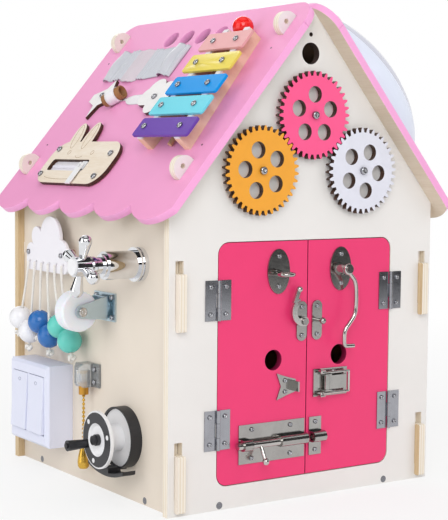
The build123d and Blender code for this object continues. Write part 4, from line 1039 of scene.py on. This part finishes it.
# %% Ribbon
RIBBON_WIDE, RIBBON_TURNS, RIBBON_THICK = 13.5, 2.25, 0.2
RIBBON_FROM, WIND_FIRST, WIND_GROWTH = 6.5, 0.15, 0.75
RUN_S, RUN_V, RUN_LONG = 126.0, -62.0, 80.0
EASE_SHARE, RUN_LIES, RUN_WAVE, RUN_CALMS = 0.3, 0.4, 0.9, 1.45
WIND_STEPS, RUN_STEPS, WIND_COLUMNS = 90, 40, 6
wind_points = []
for k in range(WIND_STEPS):
    turned_by = -pi / 2 - 2 * pi * RIBBON_TURNS * (1 - k / (WIND_STEPS - 1))
    radius = TUBE_RADIUS + WIND_FIRST + WIND_GROWTH * k / (WIND_STEPS - 1)
    for j in range(WIND_COLUMNS):
        wind_points.append(tube_point(RIBBON_FROM + RIBBON_WIDE * j / (WIND_COLUMNS - 1), radius, turned_by))
for k in range(1, RUN_STEPS + 1):
    t = k / RUN_STEPS
    for j in range(WIND_COLUMNS):
        side = j / (WIND_COLUMNS - 1)
        start = tube_point(RIBBON_FROM + RIBBON_WIDE * side, TUBE_RADIUS + WIND_FIRST + WIND_GROWTH, -pi / 2)
        free = max(0.0, 1 - RUN_CALMS * t)
        wave = (RUN_WAVE + RUN_WAVE * sin(11 * t + 1.4 * side)) * min(1.0, 6 * t) * free
        end = on_roof(RUN_S - RIBBON_WIDE * side, RUN_V + RUN_LONG * t, ROOF_TOP + RUN_LIES + wave)
        share = min(1.0, t / EASE_SHARE)
        share = share * share * (3 - 2 * share)
        slide = start + (on_roof(RUN_S, RUN_V + RUN_LONG * t, 0) - on_roof(RUN_S, RUN_V, 0))
        wind_points.append(slide.lerp(end, share))
wind_faces = grid_faces(WIND_STEPS + RUN_STEPS, WIND_COLUMNS)
ribbon = make_piece("ribbon_cloth", wind_points, wind_faces, "house", "satin", ribbon_satin)
thicken(ribbon, RIBBON_THICK)
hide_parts("ribbon_roll")

# %% [markdown]
# ## Zip tape
# A woven tape lies under the animal plate, with a thin cord along each row of teeth. It is a laid sheet,
# so a grid of points is enough, with a slight wave where it was sewn.

# %% Zip tape
ZIP_MIDDLE = 213.0
TAPE_V = (-104.0, 6.0)
TAPE_WIDE, TAPE_THICK = 24, 0.5
TAPE_ROWS, TAPE_COLUMNS = 80, 16
TAPE_LIES, TAPE_WAVE = 0.45, 0.06
EDGE_CORD_AT, EDGE_CORD_HALF, EDGE_CORD_RISE = 0.1, 0.05, 0.35


def tape_point(row, column):
    """A point of the tape, with its two cords raised."""
    v = TAPE_V[0] + (TAPE_V[1] - TAPE_V[0]) * row / (TAPE_ROWS - 1)
    across = column / (TAPE_COLUMNS - 1) - 0.5
    cord_edge = EDGE_CORD_RISE * max(0.0, 1 - abs(abs(across) - EDGE_CORD_AT) / EDGE_CORD_HALF)
    height = TAPE_LIES + cord_edge + TAPE_WAVE * sin(3.1 * v)
    return on_roof(ZIP_MIDDLE + TAPE_WIDE * across, v, ROOF_TOP + height)


tape_points = [tape_point(r, c) for r in range(TAPE_ROWS) for c in range(TAPE_COLUMNS)]
tape_faces = grid_faces(TAPE_ROWS, TAPE_COLUMNS)
tape = make_piece("zip_tape_cloth", tape_points, tape_faces, "house", "zip_white", zip_cloth)
thicken(tape, TAPE_THICK)
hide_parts("zip_tape")
print(f"tape {TAPE_WIDE} x {TAPE_V[1] - TAPE_V[0]:.0f} mm")

# %% [markdown]
# ## Zip teeth
# Two rows of moulded teeth mesh along the tape. An Array modifier could repeat one tooth, but each row is
# turned about, so a loop sets them side by side in turn. A tooth is a small block with a narrower head.

# %% Zip teeth
TEETH_V = (-100.0, -22.5)
TOOTH_STEP = 1.7
TAPE_TOP = ROOF_TOP + 1.2
TOOTH_BACK, TOOTH_FRONT, TOOTH_HALF, TOOTH_MIDDLE = -0.7, 2.0, 0.55, 0.65
TOOTH_LAYERS = ((TAPE_TOP - 0.5, 1.0), (TAPE_TOP + 0.55, 1.0), (TAPE_TOP + 0.95, 0.72))
TOOTH_CORNERS = ((TOOTH_BACK, TOOTH_HALF), (TOOTH_FRONT, TOOTH_HALF), (TOOTH_FRONT, -TOOTH_HALF),
                 (TOOTH_BACK, -TOOTH_HALF))
tooth_faces = grid_faces(3, 4, wrap_columns=True) + [[0, 1, 2, 3], [8, 9, 10, 11]]
tooth_shapes = []
count = round((TEETH_V[1] - TEETH_V[0]) / TOOTH_STEP)
for k in range(count):
    side = 1 if k % 2 else -1
    v = TEETH_V[0] + TOOTH_STEP * (k + 0.5)
    corner_points = []
    for h, shrink in TOOTH_LAYERS:
        for out, w in TOOTH_CORNERS:
            s = ZIP_MIDDLE + side * (TOOTH_MIDDLE + (out - TOOTH_MIDDLE) * shrink)
            corner_points.append(on_roof(s, v + w * shrink, h))
    tooth_shapes.append((corner_points, tooth_faces))
teeth = make_piece("zip_teeth", *joined(*tooth_shapes), "house", "zip_white", zip_plastic, smooth=False)
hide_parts("zip_tape")
print(count, "zip teeth")

# %% [markdown]
# ## Cabin hook
# The hook is bent from one steel rod: an eye round the pivot, a long S and a tip. Straight runs with
# round corners would look welded, so the rod follows a NURBS route given from the pivot, and a turned eye
# is joined to its end.

# %% Cabin hook
HOOK_PIVOT = (40.4, -173.0, 224.7)
HOOK_REACH, HOOK_ROD = 76.4, 2.2
ROD_SIDES, TIP_EASE = 14, 0.35
HOOK_BENDS = ((3.0, -0.8), (8, -5.6), (14, -10), (30, -10.8), (45, -10), (53, -3.4), (60, 3.2), (68, 4.0),
              (HOOK_REACH - 1.0, 3.6), (HOOK_REACH, 0), (HOOK_REACH, -9))
hook_route = [Vector((HOOK_PIVOT[0] - w, HOOK_PIVOT[1], HOOK_PIVOT[2] - u)) * MM for u, w in HOOK_BENDS]
hook_rod = spline_points("hook_route", hook_route)
rod_points, rod_faces = tube(hook_rod, HOOK_ROD, ROD_SIDES)
for k in range(len(rod_points) - ROD_SIDES, len(rod_points)):
    rod_points[k] = rod_points[k].lerp(hook_rod[-1], TIP_EASE)
EYE_PROFILE = ((2.1, -2.1), (5.0, -2.2), (5.6, -1.6), (5.6, 1.6), (5.0, 2.2), (2.1, 2.1))
eye = lathe(EYE_PROFILE, Vector(HOOK_PIVOT) * MM, (0, -1, 0), 36)
cabin_hook = make_piece("cabin_hook", *joined((rod_points, rod_faces), eye), "hook", "steel", rod_steel)
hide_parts("hook")
print(f"hook rod {1000 * line_length(hook_rod):.0f} mm long")

# %% [markdown]
# ## Castor rivet
# The wheel's axle is a rivet. Its two ends are upset into low domes with a ring pressed in, so a turned
# cap is set on each flat end of the frame's axle.

# %% Castor rivet
RIVET_PROFILE = ((0.05, 0.9), (1.5, 0.85), (1.9, 0.35), (2.5, 0.35), (2.8, 0.85), (3.6, 0.75), (4.5, 0.15),
                 (4.65, -0.2), (0.05, -0.2))
fork_mesh = nodes["castor_fork"].data
boxes = [corners(fork_mesh, group) for group in islands(fork_mesh)]
axle_low, axle_high = [box for box in boxes if box[1].x - box[0].x < THIN][0]
axle_middle = (axle_low + axle_high) / 2
rivets = []
for end, way in ((axle_low.y, -1), (axle_high.y, 1)):
    rivets.append(lathe(RIVET_PROFILE, (axle_middle.x, end, axle_middle.z), (0, way, 0)))
make_piece("castor_rivets", *joined(*rivets), "castor_fork", "steel", rod_steel)
print(f"axle {1000 * (axle_high.y - axle_low.y):.1f} mm long")

# %% [markdown]
# ## Screw heads
# The frame's screws have plain round heads, and real ones are domed with a cross recess. A bump would
# vanish from the side, so a cap with that shape is set on each head. First, each head's place and size
# are read from its own rim, so that the caps follow the frame.

# %% Screw heads
LIES_ALONG, RIM_WITHIN = 0.6, 0.02 * MM


def screw_heads(node, outward):
    """Centre and radius of the outermost flat of each screw that lies along a direction."""
    mesh = nodes[node].data
    outward = Vector(outward).normalized()
    found = []
    for group in islands(mesh):
        points = [mesh.vertices[i].co for polygon in group for i in polygon.vertices]
        far = max(p.dot(outward) for p in points)
        deep = far - min(p.dot(outward) for p in points)
        span = max((p - q).length for p in points[:1] for q in points)
        if deep < LIES_ALONG * span:
            continue
        rim = [p for p in points if p.dot(outward) > far - RIM_WITHIN]
        low = Vector([min(p[k] for p in rim) for k in range(3)])
        high = Vector([max(p[k] for p in rim) for k in range(3)])
        middle = (low + high) / 2
        found.append((middle, max((p - middle).length for p in rim) / MM))
    return found


# %% [markdown]
# ## Cross caps
# A cap is rings of points up to a flat, with a cross cut in. The flat between the last ring and the cross
# is filled by tessellation, which copes with a hole of any outline, and the recess narrows towards its
# floor.

# %% Cross caps
RIM_SIDES = 20
CAP_RINGS = ((1.015, -0.22), (1.015, 0.0), (0.93, 0.55), (0.74, 0.88), (0.62, 0.97))
CAP_DOME, CROSS_ARM, CROSS_HALF, CROSS_FLOOR, CROSS_NARROWS = 0.36, 0.56, 0.12, 0.1, 0.7
CROSS_CORNERS = 12


def cross_cap(at, way, radius, angle):
    """A domed cap with a cross recess, on a disc of that radius in mm."""
    turn = upright(way) @ Matrix.Rotation(angle, 3, "Z")
    dome = CAP_DOME * radius
    spots = []
    for share, rise in CAP_RINGS:
        for k in range(RIM_SIDES):
            turn_by = 2 * pi * k / RIM_SIDES
            spots.append(Vector((share * radius * cos(turn_by), share * radius * sin(turn_by), rise * dome)))
    faces = grid_faces(len(CAP_RINGS), RIM_SIDES, wrap_columns=True)
    faces.append(list(range(RIM_SIDES)))
    arm, half = CROSS_ARM * radius, CROSS_HALF * radius
    outline = [(arm, -half), (arm, half), (half, half), (half, arm), (-half, arm), (-half, half),
               (-arm, half), (-arm, -half), (-half, -half), (-half, -arm), (half, -arm), (half, -half)]
    first = len(spots)
    spots += [Vector((x, y, dome)) for x, y in outline]
    spots += [Vector((CROSS_NARROWS * x, CROSS_NARROWS * y, CROSS_FLOOR * dome)) for x, y in outline]
    last_ring = (len(CAP_RINGS) - 1) * RIM_SIDES
    flat_rings = [spots[last_ring:last_ring + RIM_SIDES], spots[first:first + CROSS_CORNERS]]
    flat_rings = [[Vector((p.x, p.y, 0)) for p in ring] for ring in flat_rings]
    for triangle in tessellate_polygon(flat_rings):
        faces.append([last_ring + i if i < RIM_SIDES else first + i - RIM_SIDES for i in triangle])
    faces += grid_faces(2, CROSS_CORNERS, wrap_columns=True, start=first)
    faces.append(list(range(first + CROSS_CORNERS, first + 2 * CROSS_CORNERS)))
    return [at + turn @ spot * MM for spot in spots], faces


# %% [markdown]
# ## Caps on the screws
# Each row names a node, the way that its heads look, its body, and the least and largest radius of a
# head. The crosses are turned by different angles, as a screwdriver leaves them, and the bars' small
# heads get a slightly wider cap.

# %% Caps on the screws
CAP_TURN = 2.1
BAR_HEAD_LARGEST, BAR_HEAD_GROWTH = 2.8, 1.25
CAPPED = (
    ("frame_screws", (0, -1, 0), "house", 1.5, 3.4),
    ("frame_screws", (-1, 0, 0), "house", 1.5, 3.4),
    ("door_left_screws", (0, -1, 0), "left_door", 1.5, 3.4),
    ("door_right_screws", (0, -1, 0), "right_door", 1.5, 3.4),
    ("gear_screws", (0, -1, 0), "house", 1.5, 4.5),
    ("roof_screws", LEFT_SLOPE, "house", 2.2, 4.0),
)
for node, outward, body, least, most in CAPPED:
    shapes = []
    for index, (middle, radius) in enumerate(screw_heads(node, outward)):
        if least < radius < most:
            wide = radius * (BAR_HEAD_GROWTH if node == "roof_screws" and radius < BAR_HEAD_LARGEST else 1.0)
            shapes.append(cross_cap(middle, outward, wide, CAP_TURN * index))
    side = "wall" if outward[0] == -1 else "face"
    make_piece(f"{node}_caps_{side}", *joined(*shapes), body, "screw_steel", screw_steel)
    print(node, len(shapes), "cross heads")

# %% [markdown]
# ## Rocker marks
# Each rocker of the switch has a small raised oval near its upper end, where it is pressed. A mark in the
# material would be flat, but a thin ring catches the light and is part of the mesh itself. The
# rockers rest a little tilted, so the ring is turned with them.

# %% Rocker marks
SWITCH_Z, MARK_UP = 74.0, 22.0
ROCKER_PIVOT_OUT, ROCKER_FACE_OUT = 22.0, 32.0
ROCKER_TILT = radians(3.0)
MARK_WIDE, MARK_TALL, MARK_THICK, MARK_RISE = 2.6, 1.6, 0.32, 0.05
MARK_STEPS = 28


def oval_ring(centre, turn):
    """A thin ring round an oval that lies on a rocker's face."""
    line = []
    for k in range(MARK_STEPS):
        angle = 2 * pi * k / MARK_STEPS
        line.append(centre + turn @ Vector((-MARK_RISE, MARK_WIDE * cos(angle), MARK_TALL * sin(angle))) * MM)
    return closed_tube(line, MARK_THICK, 6)


tilt = Matrix.Rotation(ROCKER_TILT, 3, "Y")
pivot = Vector((WALL_FACE - ROCKER_PIVOT_OUT, 0, SWITCH_Z)) * MM
upper_face = Vector((WALL_FACE - ROCKER_FACE_OUT, 0, SWITCH_Z + MARK_UP)) * MM
for body in ("switch_rocker_a", "switch_rocker_b"):
    low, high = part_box(body)
    spot = pivot + tilt @ (upper_face - pivot)
    spot.y = (low[1] + high[1]) / 2
    make_piece(f"rocker_mark_{body[-1]}", *oval_ring(spot, tilt), body, "switch_white", mark_grey)
    print(f"{body}: mark {1000 * spot.z:.0f} mm above the ground")

# %% [markdown]
# ## Reel dots
# Three white dots sit on the spool's black ring. A flat disc would have a hard edge, so each is a low
# turned stud whose rim is eased.

# %% Reel dots
DOT_RING, DOT_RADIUS, INLAY_FACE = 21.8, 2.4, 33.6
DOT_ANGLES = (45, 165, 285)
DOT_PROFILE = ((DOT_RADIUS, -0.05), (DOT_RADIUS, 0.18), (DOT_RADIUS - 0.25, 0.3), (0.05, 0.32), (0.05, -0.05))
dots = []
for angle in DOT_ANGLES:
    spot = Vector((WALL_FACE - INLAY_FACE, REEL_Y + DOT_RING * cos(radians(angle)),
                   REEL_Z + DOT_RING * sin(radians(angle)))) * MM
    dots.append(lathe(DOT_PROFILE, spot, (-1, 0, 0), 20))
make_piece("reel_dots", *joined(*dots), "reel_spool", "spool_white", white_plastic)
print(len(dots), "dots on the reel")

# %% [markdown]
# ## Burnt lines
# The animal's ears, eyes and mouth are drawn by the laser as fine burnt lines. Grooves would need a cut
# in the frame's plate, so each line is a thin dark tube along part of an oval, half sunk in the plate's
# face.

# %% Burnt lines
PLATE_THICK = 4.0
PLATE_FACE = TAPE_TOP + PLATE_THICK
LINE_WIDE, LINE_STEPS = 0.5, 24
EARS = ((174, -86, 17, 5.5, 18), (174, -58.5, 17, 5.5, 6))
EYES = ((196, -78, 2.6, 2.6, 0), (196, -28, 2.6, 2.6, 0))
ARCS = ((199, -52, 4, 8, 0, -70, 70), (228, -60, 4, 36, 0, -80, 80))


def burnt_oval(s, v, half_s, half_v, tilt_degrees, first=0, last=360):
    """A burnt line along an oval: its middle, half sizes and turn on the plate, and the part drawn."""
    tilt = radians(tilt_degrees)
    line = []
    for k in range(LINE_STEPS + 1):
        angle = radians(first + (last - first) * k / LINE_STEPS)
        ds, dv = half_s * cos(angle), half_v * sin(angle)
        turned_s = s + ds * cos(tilt) - dv * sin(tilt)
        turned_v = v + ds * sin(tilt) + dv * cos(tilt)
        line.append(on_roof(turned_s, turned_v, PLATE_FACE))
    return tube(line, LINE_WIDE / 2, 6)


engraved = [burnt_oval(*oval) for oval in EARS + EYES + ARCS]
make_piece("animal_lines", *joined(*engraved), "house", "raw_ply", burnt_ink)
print(len(engraved), "burnt lines")

# %% [markdown]
# ## Studio floor
# The picture has a plain white ground. A white floor renders grey where less light falls, so to the
# camera this one glows a little, more with the distance from the house. It fades into the white sky and
# still keeps the house's shadow.

# %% Studio floor
FLOOR_SIZE, FLOOR_GREY = 14.0, 0.88
GLOW_NEAR, GLOW_FAR, GLOW_LEAST = 0.35, 1.5, 0.72


def shown_to_eye(tree):
    """One for rays from the camera and for those that reach it by a mirror or through glass."""
    seen = add(tree, "LightPath")
    either = calc(tree, "MAXIMUM", seen.outputs["Is Camera Ray"], seen.outputs["Is Glossy Ray"])
    return calc(tree, "MAXIMUM", either, seen.outputs["Is Transmission Ray"])


def mix_shaders(tree, share, first, second, output):
    """Sends the first shader to the output where share is 0 and the second where it is 1."""
    mixed = add(tree, "MixShader")
    tree.links.new(share, mixed.inputs["Fac"])
    tree.links.new(first, mixed.inputs[1])
    tree.links.new(second, mixed.inputs[2])
    tree.links.new(mixed.outputs["Shader"], tree.nodes[output].inputs["Surface"])


def floor_white():
    """A matt floor that glows to the camera away from the house."""
    made, tree, shader = new_material("floor_white", 0.9)
    shader.inputs["Base Color"].default_value = (FLOOR_GREY, FLOOR_GREY, FLOOR_GREY, 1)
    glow = add(tree, "Emission")
    glow.inputs["Strength"].default_value = 1.0
    away = add(tree, "VectorMath", operation="LENGTH")
    tree.links.new(place(tree), away.inputs[0])
    spread = add(tree, "MapRange")
    spread.inputs["From Min"].default_value = GLOW_NEAR
    spread.inputs["From Max"].default_value = GLOW_FAR
    spread.inputs["To Min"].default_value = GLOW_LEAST
    spread.inputs["To Max"].default_value = 1.0
    tree.links.new(away.outputs["Value"], spread.inputs["Value"])
    share = calc(tree, "MULTIPLY", spread.outputs["Result"], shown_to_eye(tree))
    mix_shaders(tree, share, shader.outputs["BSDF"], glow.outputs["Emission"], "Material Output")
    return made


bpy.ops.mesh.primitive_plane_add(size=FLOOR_SIZE)
floor = bpy.context.object
floor.name = "floor"
floor.data.materials.append(floor_white())
print(f"floor {FLOOR_SIZE:.0f} m wide")

# %% [markdown]
# ## Dark cards
# A photographer sets black cards round bright metal, because chrome in an all white room has no contrast.
# These are seen by reflections alone, so they put dark bands in the metal and neither show nor cast a
# shadow. Each is given by its place, the point that it faces, and its width and height.

# %% Dark cards
CARD_BLACK = (0.02, 0.02, 0.022, 1)
CARDS = (
    ((1.0, -1.35, 0.75), (0.05, -0.16, 0.75), 1.9, 1.44),
    ((-2.6, -3.6, 1.85), (-0.2, -0.2, 1.85), 4.6, 3.1),
    ((-4.1, 0.2, 1.85), (-0.2, 0.0, 1.85), 4.4, 3.1),
    ((-1.9, 4.2, 1.85), (-0.2, 0.0, 1.85), 5.5, 3.1),
    ((0.0, 0.0, 3.4), (0.0, 0.0, 0.0), 5.0, 5.0),
)


def aim(thing, at, target, front):
    """Sets a thing down and turns its front axis to a target."""
    thing.location = at
    thing.rotation_mode = "QUATERNION"
    thing.rotation_quaternion = (Vector(target) - Vector(at)).to_track_quat(front, "Y")


def dark_card(at, target, wide, tall):
    """A matt black card for reflections alone."""
    bpy.ops.mesh.primitive_plane_add(size=1.0)
    card = bpy.context.object
    card.name = "dark_card"
    card.scale = (wide, tall, 1)
    aim(card, at, target, "Z")
    made, _, shader = new_material("card_black", 0.9)
    shader.inputs["Base Color"].default_value = CARD_BLACK
    card.data.materials.append(made)
    card.visible_camera = False
    card.visible_diffuse = False
    card.visible_shadow = False
    card.visible_transmission = False


for at, target, wide, tall in CARDS:
    dark_card(at, target, wide, tall)
print(len(CARDS), "dark cards")

# %% [markdown]
# ## Lights
# Five large soft lights stand round the house: a key light at the front left, a fill at the right, and
# weaker ones at the side, above and behind. One small lamp would throw hard shadows, and large areas give
# a studio's soft ones. Each is given by its place, its size in metres and its power in watts.

# %% Lights
HOUSE_MIDDLE = (0, 0, 0.22)
LIGHTS = (
    ("key", (-1.6, -2.4, 1.9), 1.8, 48),
    ("fill", (2.2, -2.0, 1.2), 2.2, 20),
    ("side", (-2.8, 0.2, 1.0), 2.0, 23),
    ("top", (0.0, 0.2, 3.0), 2.2, 12),
    ("back", (1.3, 2.8, 1.5), 2.2, 22),
)
for name, at, size, watts in LIGHTS:
    lamp = bpy.data.lights.new(name, "AREA")
    lamp.shape = "SQUARE"
    lamp.size = size
    lamp.energy = watts
    holder = bpy.data.objects.new(name, lamp)
    aim(holder, at, HOUSE_MIDDLE, "-Z")
    bpy.context.scene.collection.objects.link(holder)
print(len(LIGHTS), "lights,", sum(light[3] for light in LIGHTS), "watts in all")

# %% [markdown]
# ## White sky
# The world lights the house evenly from all sides. At full strength it would wash out every shadow, so it
# lights at less than half, and only the camera, mirrors and glass see it as pure white.

# %% White sky
SKY_LIGHT = 0.42
WHITE = (1, 1, 1, 1)
world = bpy.data.worlds.new("studio")
bpy.context.scene.world = world
world.use_nodes = True
sky = world.node_tree
light_sky = sky.nodes["Background"]
white_sky = add(sky, "Background")
for background, strength in ((light_sky, SKY_LIGHT), (white_sky, 1.0)):
    background.inputs["Color"].default_value = WHITE
    background.inputs["Strength"].default_value = strength
mix_shaders(sky, shown_to_eye(sky), light_sky.outputs["Background"], white_sky.outputs["Background"],
            "World Output")
print(f"sky lights at {SKY_LIGHT}")
